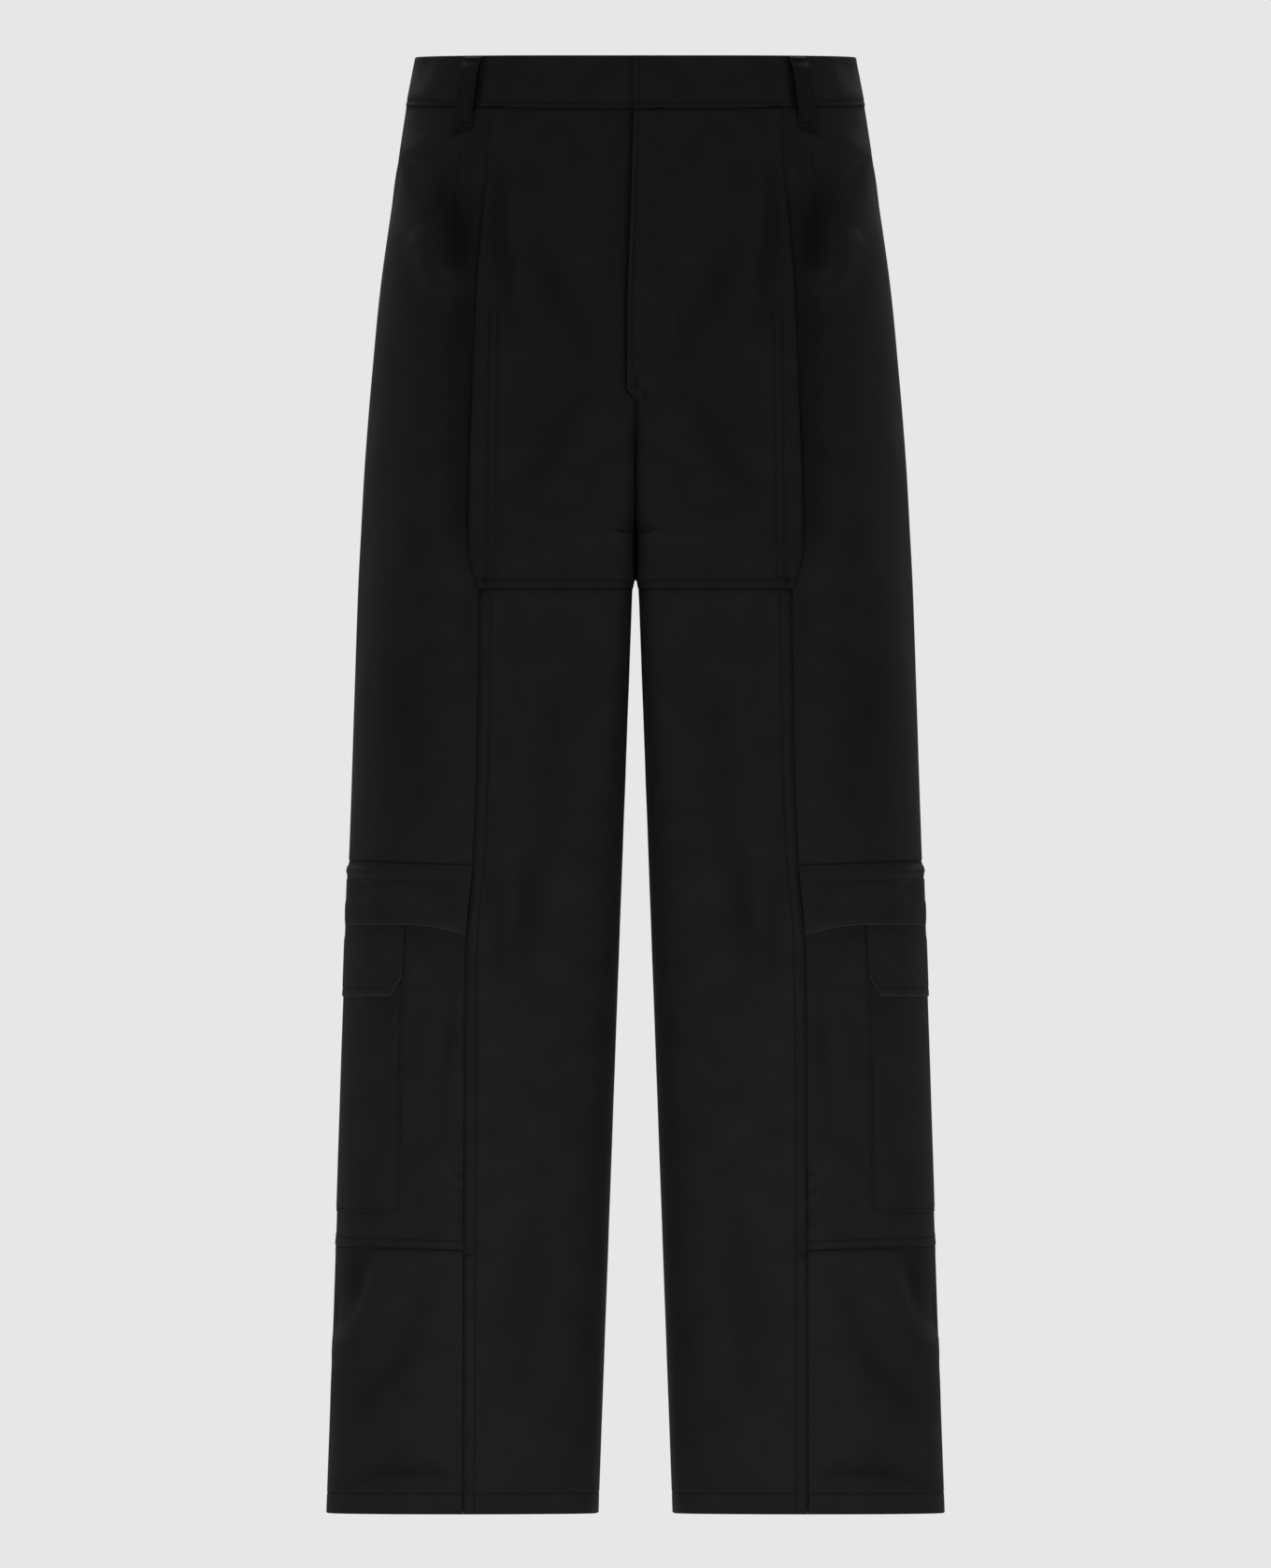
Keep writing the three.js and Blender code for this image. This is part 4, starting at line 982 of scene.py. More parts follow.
# %% [markdown]
# ## Stitches
# One stitch is a short twist of thread that dips into the cloth at both ends. It is modelled once, as a small
# ball drawn out and flattened, and then laid along every row. The real pitch is 3 mm, which just shows.

# %% One stitch
STITCH_PITCH = 3.0
STITCH_LONG = 2.5
STITCH_WIDE = 0.62
STITCH_PROUD = 0.02  # how far a stitch's middle stands over the cloth
SEW_STEPS = 400
SLOPE_STEP = 0.6  # a row's direction is read this far before and after a stitch
TACK_PITCH, TACK_SLANT, TACK_PROUD = 0.5, 0.35, 0.35

deselect_all()
bpy.ops.mesh.primitive_ico_sphere_add(subdivisions=1, radius=0.5)
grain_of_thread = bpy.context.object
bpy.ops.object.mode_set(mode="EDIT")
bpy.ops.mesh.select_all(action="SELECT")
bpy.ops.transform.resize(value=(1.0, 1.0, 0.8))
bpy.ops.object.mode_set(mode="OBJECT")
STITCH_POINTS = np.array([v.co for v in grain_of_thread.data.vertices], float)
STITCH_FACES = np.array([list(p.vertices) for p in grain_of_thread.data.polygons])
bpy.data.objects.remove(grain_of_thread, do_unlink=True)
print("one stitch has", len(STITCH_FACES), "faces")

THREADS = {}


def lay(group, piece, drop, s, direction, long=STITCH_LONG, proud=STITCH_PROUD):
    """Puts a stitch at each place of a piece, along a direction on the cloth given as (across, down)."""
    def point(d, l):
        return piece.place(d, l, piece.height(d, l) + proud)

    centre = point(drop, s)
    ahead = point(drop + direction[1], s + direction[0])
    tangent = ahead - centre
    tangent /= np.linalg.norm(tangent, axis=1, keepdims=True)
    form = on_form(drop, s)
    normal = np.stack([form[:, 2], form[:, 3], np.zeros(len(form))], axis=1)
    binormal = np.cross(normal, tangent)
    binormal /= np.linalg.norm(binormal, axis=1, keepdims=True)
    normal = np.cross(tangent, binormal)
    p = STITCH_POINTS
    made = (centre[:, None, :] + tangent[:, None, :] * (p[None, :, 0:1] * long)
            + binormal[:, None, :] * (p[None, :, 1:2] * STITCH_WIDE)
            + normal[:, None, :] * (p[None, :, 2:3] * STITCH_WIDE))
    if piece.mirrored:
        made[..., 0] *= -1
    THREADS.setdefault(group, []).append((made, piece.mirrored))


def sew(group, piece, drop, s):
    """A row of stitches along a path of drops and lengths on a piece."""
    p = piece.place(drop, s, np.zeros(len(drop)))
    run = np.concatenate([[0], np.cumsum(np.linalg.norm(np.diff(p, axis=0), axis=1))])
    count = max(1, int(run[-1] / STITCH_PITCH))
    at = (np.arange(count) + 0.5) * run[-1] / count
    direction = [np.interp(at + SLOPE_STEP, run, v) - np.interp(at - SLOPE_STEP, run, v) for v in (s, drop)]
    lay(group, piece, np.interp(at, run, drop), np.interp(at, run, s), direction)


def sew_edges(group, piece, trim=1.5):
    """Sews the stitch rows that a piece's borders call for."""
    probe = np.linspace(0, 1, SEW_STEPS)
    drop, s = piece.grid()
    for key, edge in piece.edges.items():
        for row in edge.rows:
            if key in ("left", "right"):
                column = 0 if key == "left" else -1
                d = np.linspace(drop[0, column] + trim, drop[-1, column] - trim, SEW_STEPS)
                l = piece.left(d) + row if key == "left" else piece.right(d) - row
            else:
                line = 0 if key == "top" else -1
                share = np.linspace(0, 1, drop.shape[1])
                d = np.interp(probe, share, drop[line]) + (row if key == "top" else -row)
                l = np.interp(probe, share, s[line])
                l = mix(piece.left(d), piece.right(d), (l - l[0]) / (l[-1] - l[0]))
            sew(group, piece, d, l)


def bar_tack(group, piece, drop, s, long, upright=False, wide=2.0):
    """A dense bar of stitches across a stress point, lying along the level unless it is upright."""
    count = max(4, int(long / TACK_PITCH))
    step = (np.arange(count) - (count - 1) / 2) * long / count
    still = np.zeros(count)
    d, l = (drop + step, s + still) if upright else (drop + still, s + step)
    direction = (1.0 + still, TACK_SLANT + still) if upright else (TACK_SLANT + still, 1.0 + still)
    lay(group, piece, d, l, direction, long=wide, proud=TACK_PROUD)


def finish(piece, mirrored, group):
    """Builds a piece of twill and sews its borders' stitch rows."""
    piece.build(TWILL, mirrored)
    sew_edges(group, piece)
    return piece


# %% [markdown]
# ## Level borders
# The waist seam rises a little towards the sides, as shaped waistbands do, and the cargo pocket's seams and
# the flap's edge fall a little towards the front.

# %% Level seams
side_at, seam_x_at = reader(side), reader(smooth(FRONT_SEAM))
BAND_FOOT, CARGO_TOP, FLAP_FOOT, CARGO_FOOT = 40.2, 596.2, 643.4, 881.8  # drops of the level seams and edges
FLAP_FALL_X = 173  # the flap's edge falls from here to the front seam


def toward_front(x, drop):
    """0 at the outline and 1 at the front seam."""
    return (side_at(drop) - np.abs(x)) / (side_at(drop) - seam_x_at(drop))


def band_seam(x):
    return BAND_FOOT - 3.5 * (x / side_at(BAND_FOOT)) ** 2


def cargo_top(x):
    return CARGO_TOP + 3.4 * toward_front(x, CARGO_TOP)


def flap_bottom(x):
    share = np.clip((FLAP_FALL_X - np.abs(x)) / (FLAP_FALL_X - seam_x_at(FLAP_FOOT)), 0, 1)
    return FLAP_FOOT + 7.7 * share ** 2


def cargo_bottom(x):
    return CARGO_FOOT + 2.8 * toward_front(x, CARGO_FOOT)


def border(line, offset=0.0):
    """A level border from a function of x."""
    return lambda x, a, b: line(x) + offset


FRONT_JOIN = 395.0
JOIN_ROW, HEM_ROW = 6.2, 15.2  # stitch rows above the level seam and above the hem's edge
BUTTED = Edge("flush", ripple=1.0, shade=0.9)  # a seam whose upper side lies flat, with painted shade along it
HEM = Edge("fold", rows=(HEM_ROW,), ripple=0.5)
FELLED = {"rows": (1.7, 8.3), "ridge": 0.5}


def hemmed(drop, s):
    """Two layers in the turned hem."""
    return CLOTH + 1.4 * ease((drop - LENGTH + HEM_DEPTH + 1) / 1.5)


# %% [markdown]
# ## Front panels
# Each front is an upper panel, from the waist seam to a level seam just below the crotch, and a lower one.
# The upper panel's outer edge is a pressed pleat that laps over the side panel. It stands highest at the hip,
# where the cloth is pulled out, so a deep shadow runs down beside it, deepened by painted shade on the side
# panel. The wearer's left front carries the fly, which lies over the right one.

# %% Front panels
PLEAT_LIFT = CLOTH + GAP + 0.25
UNDER_LIFT = -CLOTH - GAP - 0.2
PLEAT_ROWS = (4.6, 10.8)  # the stitch rows' distance in from the hidden seam
FLY_ROW = 3.6
FLY_END, FLY_CLOSE, FLY_BLEND, FLY_UNDERLAP = 240.0, 243.5, 256.0, 8.0


def pleat_extra(drop):
    return np.interp(drop, [40, 90, 140, 250, 350, 391], [0, 1.2, 3.0, 3.2, 1.8, 0])


def rows_begin(drop):
    """The pleat is stitched down only below the hip."""
    return ease((drop - 165) / 35)


def pleat_rise(drop, s):
    """How far the front panel stands over the side panel along its pressed edge."""
    lap = ease((s - front_seam(drop) + 9) / 8.5) * PLEAT_LIFT
    lip = ease((s - front_seam(drop) + 5) / np.maximum(6, pleat_edge(drop) - front_seam(drop) + 5))
    rows = sum(np.exp(-((s - front_seam(drop) + offset) / 1.6) ** 2) for offset in PLEAT_ROWS)
    return lap + lip * pleat_extra(drop) - 0.3 * rows * rows_begin(drop)


def pleat_thickness(drop, s):
    return CLOTH + 0.85 * (pleat_rise(drop, s) - PLEAT_LIFT).clip(0)


def left_start(drop):
    return np.where(drop < FLY_BLEND, fly_edge(drop) - HALF_GAP, start_line(drop) - rise_reach(drop, front_turn))


def right_start(drop):
    lower = np.where(drop < FLY_BLEND, GAP - fly_edge(drop), start_line(drop) - rise_reach(drop, front_turn))
    upper = np.interp(drop, [FLY_END - 24, FLY_CLOSE], [-FLY_UNDERLAP, GAP + 6.2])
    return np.where(drop < FLY_CLOSE, upper, lower)


J_WIDTH = [(42, 34.7), (110, 31.9), (225, 31.9), (237, 29.8), (243, 26.5), (247, 22), (250.5, 16), (251.5, 8)]


def fly_facing(drop, s):
    """The left front is raised a little where the fly facing lies beneath."""
    edge_at = lookup(drop, J_WIDTH)
    inside = ease((edge_at + 1.8 - s) / 3.0) * ease((253 - drop) / 3.0)
    return 0.55 * inside - 0.3 * np.exp(-((s - edge_at) / 1.1) ** 2) * (drop < 250)


def under_fly(drop, s):
    """The right front runs beneath the left one, then rises beside it."""
    deep = 1 - ease((s + fly_edge(drop) - 0.8) / 5.0)
    closing = 1 - ease((drop - FLY_END + 4) / 22)
    return UNDER_LIFT * deep * closing


def front_shade(drop, s):
    """Painted shade in the stitch ditches beside the pleat and along the pleat's pressed edge."""
    rows = sum(np.exp(-((s - front_seam(drop) + offset) / 1.1) ** 2) for offset in PLEAT_ROWS)
    lip = np.exp(-((s - pleat_edge(drop)) / 1.2) ** 2)
    return -0.5 * rows * rows_begin(drop) - 0.5 * lip * ease((drop - 70) / 40)


def painted_shade_beside_fly(drop, s, is_left):
    """Painted shade on the right front beside the fly's edge, and on both fronts along the rise seam."""
    away = np.maximum(s + fly_edge(drop), 0)
    rise = ease((drop - 246) / 10) * (0.8 * np.exp(-(s / 1.6) ** 2) + 0.3 * np.exp(-np.maximum(s, 0) / 9))
    fly = ease((FLY_BLEND - drop) / 8) * (0.95 * np.exp(-(away / 1.8) ** 2) + 0.35 * np.exp(-away / 8))
    return -rise if is_left else -(rise + fly)


def front_upper(tag, mirrored):
    is_left = tag == "l"
    lead = Edge("flush", rows=(FLY_ROW,), ripple=0.0) if is_left else Edge("flush", ripple=0.0)
    extra = fly_facing if is_left else under_fly
    piece = Piece(
        "front_upper_" + tag, left_start if is_left else right_start, pleat_edge,
        border(band_seam, SEWN), FRONT_JOIN - SEWN,
        lift=lambda drop, s: pleat_rise(drop, s) + extra(drop, s), thick=pleat_thickness, cell=3.0,
        left=lead, right=Edge("fold", ripple=0.8), top=BUTTED,
        bottom=Edge(rows=(JOIN_ROW,), ridge=0.45), more_rows=(FLY_END, FLY_CLOSE, 247.0, FLY_BLEND),
        tint=lambda drop, s: painted_shade_beside_fly(drop, s, is_left) + front_shade(drop, s),
    )
    piece.build(TWILL, mirrored)
    group = "front_stitches_" + tag
    d = np.linspace(190, 384, 300)
    for row in PLEAT_ROWS:
        sew(group, piece, d, front_seam(d) - row)
    level = np.linspace(0, 1, 200)
    d = np.full(200, FRONT_JOIN - JOIN_ROW)
    sew(group, piece, d, mix(start_line(d) + 3, front_seam(d) - 1, level))
    bar_tack(group, piece, 387.0, float(front_seam(387.0)) - 6, 9)
    if is_left:
        rise = np.linspace(43, FLY_END - 3, 200)
        sew(group, piece, rise, left_start(rise) + FLY_ROW)
        j = curve_through([(s, d) for d, s in J_WIDTH], 120)
        sew(group, piece, j[:, 1], j[:, 0])
        bar_tack(group, piece, 243.0, 0.5, 7, upright=True)
        bar_tack(group, piece, 250.5, 7.0, 5, upright=True)
        d = np.linspace(256, 320, 100)
        sew(group, piece, d, start_line(d) + 2.2)
    return piece


def front_lower(tag, mirrored):
    piece = Piece(
        "front_lower_" + tag, start_line, beside(front_seam, -SEWN), FRONT_JOIN + SEWN, LENGTH,
        thick=hemmed, right=Edge(**FELLED), left=Edge("flush", ripple=0.0), top=BUTTED, bottom=HEM,
    )
    finish(piece, mirrored, "leg_stitches_" + tag)
    bar_tack("leg_stitches_" + tag, piece, 888.0, float(front_seam(888.0)) - 3.5, 6)
    return piece


# %% [markdown]
# ## Side panels
# The side panel wraps from the front seam round the hip to the back seam. The hip pocket is a stitched strip
# with an upright mouth, which dents where a hand goes in. Below the thigh, the whole width of the side is a
# cargo pocket.

# %% Side panels, pocket welt and pocket
SIDE_LEFT, SIDE_RIGHT = beside(front_seam, SEWN), beside(back_seam, -SEWN)
WELT_TOP, WELT_FOOT, WELT_FADE = 58, 165, 26
FLAP_TACK = 703.6  # a bar tack just below the small flap


def painted_shade_beside_pleat(drop, s):
    """Painted shade on the side panel in the crease beside the pleat and in the pocket's dent."""
    away = np.maximum(s - pleat_edge(drop), 0)
    span = ease((drop - 70) / 60) * ease((FRONT_JOIN - drop) / 60)
    x = on_form(drop, s)[..., 0]
    dent = 0.2 * np.exp(-((x - 137) / 12) ** 2 - ((drop - 132) / 32) ** 2)
    return -span * (0.95 * np.exp(-(away / 2.2) ** 2) + 0.45 * np.exp(-(away / 10.0))) - dent


def side_upper(tag, mirrored):
    piece = Piece(
        "side_upper_" + tag, SIDE_LEFT, SIDE_RIGHT, border(band_seam, SEWN), border(cargo_top, -SEWN),
        right=Edge(**FELLED), top=BUTTED, bottom=Edge(ripple=0.8), left=Edge(ripple=0.5),
        tint=painted_shade_beside_pleat,
    )
    return finish(piece, mirrored, "side_stitches_" + tag)


def hip_welt(tag, mirrored):
    first, last = between(front_seam, patch_front, 0.35), between(front_seam, patch_front, 0.7)

    def lift(drop, s):
        proud = 0.1 + thickness(drop, s) + 0.5 * ease(share_of(drop, s) * 1.6 - 0.6)
        return mix(-0.5, proud, ends(drop))

    def share_of(drop, s):
        return np.clip((s - first(drop)) / (last(drop) - first(drop)), 0, 1)

    def thickness(drop, s):
        return 0.12 + 0.95 * ease(share_of(drop, s)) * ends(drop)

    def ends(drop):
        return ease(np.minimum(drop - WELT_TOP, WELT_FOOT - drop) / WELT_FADE)

    piece = Piece(
        "hip_welt_" + tag, first, last, WELT_TOP, WELT_FOOT, lift=lift, thick=thickness, cell=2.2,
        left=Edge("flush", rows=(1.6,), ripple=0.2), right=Edge("fold", rows=(2.2,), ripple=0.6),
        top=Edge("flush", ripple=0.0), bottom=Edge("flush", ripple=0.0),
        folds=("all", "hip_welt", "side_upper"), tint=painted_shade_beside_pleat,
    )
    return finish(piece, mirrored, "side_stitches_" + tag)


def cargo_backing(tag, mirrored):
    plain = Edge("hidden", ripple=0.0)
    piece = Piece(
        "cargo_backing_" + tag, SIDE_LEFT, SIDE_RIGHT, border(cargo_top, SEWN),
        border(cargo_bottom, -SEWN), lift=-CLOTH - GAP - 0.1, cell=8.0,
        left=plain, right=plain, top=plain, bottom=plain, folds=("all",),
    )
    piece.build(TWILL, mirrored)
    return piece


def cargo_pocket(tag, mirrored):
    piece = Piece(
        "cargo_pocket_" + tag, SIDE_LEFT, SIDE_RIGHT, 612, border(cargo_bottom, -SEWN), cell=2.8,
        top=Edge("fold", ripple=0.4), bottom=Edge(rows=(6.8,), ridge=0.5, ripple=1.2),
        left=Edge(ripple=0.9), right=Edge(ripple=0.9),
    )
    finish(piece, mirrored, "pocket_stitches_" + tag)
    bar_tack("pocket_stitches_" + tag, piece, FLAP_TACK, float(patch_front(FLAP_TACK)) - 1, 4)
    return piece


# %% [markdown]
# ## Flaps and patch pocket
# The cargo flap is sewn into the seam above the pocket, so its top sinks in beside the side panel and a
# raised, padded ridge runs below. Its lower edge stands off over a small patch pocket, whose own flap has
# cut corners and shows below the big one.

# %% Flaps and patch pocket
FLAP_LIFT = GAP + FLAP_CLOTH
FLAP_EDGE_LIFT = FLAP_LIFT + GAP + FLAP_CLOTH
RIDGE_PROFILE = [  # distance below the seam, lift
    (0, -0.3), (2.4, -0.2), (3.4, 1.6), (4.6, 3.3), (6.2, 4.1), (8.0, 4.0), (9.6, 3.2), (11.2, 2.2), (13.5, 1.8),
]
FLAP_CORNER = 10.4  # width of the small flap's cut corner
FLAP_CORNER_HEIGHT = 14.6


def outline_calm(drop, s):
    """0 at the outline, where the flap and patch are pulled flat, to 1 further in."""
    return ease((np.abs(s - side_line(drop)) - 4) / 34)


def flap_lift(drop, s):
    below = drop - cargo_top(on_form(drop, s)[..., 0])
    ridge = lookup(below, RIDGE_PROFILE)
    hang = mix(FLAP_LIFT, FLAP_EDGE_LIFT, ease((drop - 612) / 18))
    swell = 0.8 * np.sin(math.pi * np.clip((drop - 612) / 36, 0, 1))
    calm = outline_calm(drop, s)
    return np.where(below < 13.5, ridge * mix(0.4, 1, calm), mix(0.7 * FLAP_LIFT, hang + swell, calm))


def flap_painted_shade(drop, s):
    """Painted shade: the flap is darker below its raised ridge, darker still along the ridge's lower edge, and
    darkest in the strip along its sewn top.
    """
    below = drop - cargo_top(on_form(drop, s)[..., 0])
    return -0.28 * ease((below - 10) / 4) - 0.5 * np.exp(-((below - 13.5) / 2.0) ** 2) - 0.9 * (below < 2.6)


def cargo_flap(tag, mirrored):
    piece = Piece(
        "cargo_flap_" + tag, SIDE_LEFT, SIDE_RIGHT, border(cargo_top, SEWN), border(flap_bottom),
        lift=flap_lift, thick=FLAP_CLOTH, cell=1.3, top=Edge("hidden", ripple=0.2, shade=0.9), tint=flap_painted_shade,
        # the lower edge is paler, partly rubbed and partly a painted highlight
        bottom=Edge("fold", rows=(1.8,), ripple=0.7, worn=1.0),
        left=Edge("fold", ripple=0.5), right=Edge("fold", ripple=0.5),
    )
    return finish(piece, mirrored, "pocket_stitches_" + tag)


def patch_thickness(drop, s):
    """The patch lies pulled flat: thin at the outline and along its upper edges, fuller where it ripples."""
    edge = np.minimum(s - patch_front(drop), patch_back(drop) - s)
    rippled = np.interp(drop, [656, 730, 760, 820, 856], [0.45, 0.5, 1.0, 0.7, 0.9])
    return mix(0.5, mix(rippled, THIN_CLOTH, ease(edge / 14)), outline_calm(drop, s))


def side_patch(tag, mirrored):
    piece = Piece(
        "side_patch_" + tag, patch_front, patch_back, 656, 856,
        lift=lambda drop, s: 0.1 + patch_thickness(drop, s), thick=patch_thickness,
        cell=3.0, top=Edge("fold", ripple=0.4), bottom=Edge("fold", rows=(1.8,), ripple=1.0),
        left=Edge("fold", rows=(1.8,), ripple=1.8), right=Edge("fold", rows=(1.8,), ripple=1.8),
        folds=("all", "cargo_pocket"),
    )
    return finish(piece, mirrored, "pocket_stitches_" + tag)


def patch_flap(tag, mirrored):
    low = GAP + FLAP_CLOTH
    high = low + 0.5

    def bottom(x, a, b):
        corner = np.clip(1 - np.minimum(a, b) / FLAP_CORNER, 0, 1)
        return 696.7 - FLAP_CORNER_HEIGHT * corner

    piece = Piece(
        "patch_flap_" + tag, patch_front, patch_back, 640, bottom,
        lift=lambda drop, s: mix(low, high, ease((drop - 650) / 6)) - 0.8 * (1 - outline_calm(drop, s)),
        thick=lambda drop, s: mix(0.8, FLAP_CLOTH, outline_calm(drop, s)), cell=2.0,
        # the lower edge is paler, partly rubbed and partly a painted highlight
        top=Edge("hidden", ripple=0.0), bottom=Edge("fold", rows=(6.4,), ripple=0.6, worn=0.8),
        left=Edge("fold", rows=(6.4,), ripple=0.5), right=Edge("fold", rows=(6.4,), ripple=0.5),
        folds=("all", "cargo_pocket"),
    )
    return finish(piece, mirrored, "pocket_stitches_" + tag)


def side_lower(tag, mirrored):
    piece = Piece(
        "side_lower_" + tag, SIDE_LEFT, SIDE_RIGHT, border(cargo_bottom, SEWN), LENGTH, thick=hemmed,
        right=Edge(**FELLED), top=BUTTED, left=Edge(ripple=0.9), bottom=HEM,
    )
    return finish(piece, mirrored, "leg_stitches_" + tag)


# %% [markdown]
# ## Back
# The back isn't shown in the picture, so it is one plain panel a side, with the folds that worn trousers get
# below the seat, behind the knee and above the hem, and a double-stitched centre seam.

# %% Back panels
def back_panel(tag, mirrored):
    piece = Piece(
        "back_" + tag, beside(back_seam, SEWN), lambda drop: end_line(drop) + rise_reach(drop),
        border(band_seam, SEWN), LENGTH, thick=hemmed, cell=4.6,
        left=Edge(ripple=0.8), right=Edge("flush", ripple=0.0), top=BUTTED, bottom=HEM,
    )
    piece.build(TWILL, mirrored)
    group = "back_stitches_" + tag
    d = np.linspace(43, 340, 300)
    for row in (2.0, 8.0):
        sew(group, piece, d, end_line(d) - row)
    d = np.full(300, LENGTH - HEM_ROW)
    sew(group, piece, d, mix(piece.left(d) + 2, piece.right(d) - 2, np.linspace(0, 1, 300)))
    return piece


# %% [markdown]
# ## Waistband and belt loops
# The waistband is two layers with a stiffening between, folded at its top edge and stitched down just above
# its seam. The left end laps over the right, and a hidden hook closes them. A belt loop is a folded strip,
# tacked at both ends and standing clear between, so it throws a shadow on the band.

# %% Waistband
LOOP_LENGTH, LOOP_CLOTH, LOOP_STAND = 52.7, 1.8, 3.4
front_loop = front_line(np.interp(DROPS, [0, LOOP_LENGTH], [119.2, 125.8]))
LAP_EDGE = -2.0
LAP_SINK = BAND_LIFT - BAND_CLOTH - GAP
LAP_DEEP = LAP_SINK - 2.5
LAP_RUN = 38.0
LAP_ROW, BAND_ROW_DROP = 4.8, 36.0


def band_lift(is_left):
    if is_left:
        return lambda drop, s: BAND_LIFT + 0.25 * np.exp(-((s - 3) / 4) ** 2)
    return lambda drop, s: np.interp(s, [-38, -8, -LAP_EDGE + 0.4, -LAP_EDGE + 8],
                                     [LAP_DEEP, LAP_DEEP, LAP_SINK, BAND_LIFT])


def painted_shade_beside_loop(drop, s):
    """Painted shade on the band under the front belt loop and just beside it."""
    away = s - front_loop(drop)
    ahead, behind = 0.9 * np.exp(-((away + 9) / 2.2) ** 2), 0.3 * np.exp(-((away - 8) / 1.5) ** 2)
    return -0.9 * (np.abs(away) < 7) - ahead - behind


def waistband(tag, mirrored):
    is_left = tag == "l"
    first = LAP_EDGE - HALF_GAP if is_left else -LAP_RUN
    lead = Edge("fold", rows=(LAP_ROW,), ripple=0.5) if is_left else Edge("hidden", ripple=0.0)
    piece = Piece(
        "waistband_" + tag, first, end_line, 0, border(band_seam, -SEWN),
        lift=band_lift(is_left), thick=BAND_CLOTH, cell=3.0, left=lead, right=Edge(ripple=0.3),
        top=Edge("fold", ripple=0.4), bottom=Edge("fold", rows=(4.0,), ripple=0.9, shade=0.8),
        folds=("waistband", "waistband_" + tag), tint=painted_shade_beside_loop,
    )
    piece.build(TWILL, mirrored)
    group = "band_stitches_" + tag
    s = np.linspace(-1.5 if is_left else 3.5, float(end_line(BAND_ROW_DROP)) - 1, 500)
    sew(group, piece, band_seam(on_form(np.full(500, BAND_ROW_DROP), s)[:, 0]) - 4.0, s)
    if is_left:
        d = np.linspace(2, 35, 60)
        sew(group, piece, d, np.full(60, first + LAP_ROW))
    return piece


# %% Belt loops
LOOP_TACKED, LOOP_CLEAR = BAND_LIFT + GAP + LOOP_CLOTH, BAND_LIFT + LOOP_STAND + LOOP_CLOTH
LOOP_LIFT = [  # drop, lift
    (0.8, LOOP_TACKED), (3.0, LOOP_TACKED), (9.0, LOOP_CLEAR), (24.0, LOOP_CLEAR + 0.3), (41.0, LOOP_CLEAR),
    (47.5, GAP + LOOP_CLOTH + 0.3), (LOOP_LENGTH, GAP + LOOP_CLOTH),
]


def belt_loop(name, centre, mirrored, top_width=15.4, foot_width=13.6):
    def half(drop):
        return np.interp(drop, [0, LOOP_LENGTH], [top_width, foot_width]) / 2

    def lift(drop, s):
        crown = 0.25 * np.cos(math.pi * (s - centre(drop)) / top_width)
        return lookup(drop, LOOP_LIFT) + crown

    # Painted shade: the loop is darker all over and darker still towards its edges.
    def tint(drop, s):
        return -0.3 - 0.5 * np.exp(-(half(drop) - np.abs(s - centre(drop))) / 1.2)

    piece = Piece(
        name, lambda drop: centre(drop) - half(drop), lambda drop: centre(drop) + half(drop), 0.8, LOOP_LENGTH,
        lift=lift, thick=LOOP_CLOTH, cell=1.6, folds=(), tint=tint,
        left=Edge("fold", rows=(2.2,), ripple=0.3), right=Edge("fold", rows=(2.2,), ripple=0.3),
        top=Edge("fold", ripple=0.0), bottom=Edge("fold", ripple=0.0),
    )
    piece.build(TWILL, mirrored)
    sew_edges("loop_stitches", piece, trim=2.0)
    for drop in (2.4, LOOP_LENGTH - 3.0):
        bar_tack("loop_stitches", piece, drop, float(centre(drop)), 10)
    return piece


back_loop = back_line(84.0)

# %% Make every piece for the left and the right
MADE = []
for tag, mirrored in (("l", False), ("r", True)):
    for make in (front_upper, front_lower, side_upper, hip_welt, cargo_backing, cargo_pocket, cargo_flap,
                 side_patch, patch_flap, side_lower, back_panel, waistband):
        MADE.append(make(tag, mirrored))
    MADE.append(belt_loop("belt_loop_front_" + tag, front_loop, mirrored))
    MADE.append(belt_loop("belt_loop_back_" + tag, back_loop, mirrored, 15.0, 15.0))
MADE.append(belt_loop("belt_loop_centre", lambda drop: end_line(drop) + HALF_GAP, False, 15.0, 15.0))
print("cloth triangles", sum(2 * len(obj.data.polygons) for obj in PIECES.values()))

# %% [markdown]
# ## Zip, hook and bar
# The closure is hidden behind the fly, so it is plain and finished simply: a woven tape with metal teeth, a
# slider whose pull hangs down, and a flat trouser hook that holds behind its bar. The small metal parts are
# modelled by hand from boxes, and one tooth is copied down the chain.

# %% Zip tape
TAPE_LIFT = [(-8, -4.0), (7, -4.0), (9.4, -6.0), (15.6, -6.0), (19.5, -1.9), (26, -1.9)]
ZIP_TOP, ZIP_FOOT = 46.0, FLY_END - 2
CHAIN_X = 12.5
TAPE_END = 26
zip_tape = Piece(
    "fly_zip", -FLY_UNDERLAP - HALF_GAP, TAPE_END - HALF_GAP, ZIP_TOP, ZIP_FOOT,
    lift=lambda drop, s: lookup(s, TAPE_LIFT), thick=0.9,
    cell=2.2, folds=(), left=Edge("hidden", ripple=0), right=Edge("hidden", ripple=0),
    top=Edge("hidden", ripple=0), bottom=Edge("hidden", ripple=0),
)
zip_tape.build(TAPE, False)
MADE.append(zip_tape)


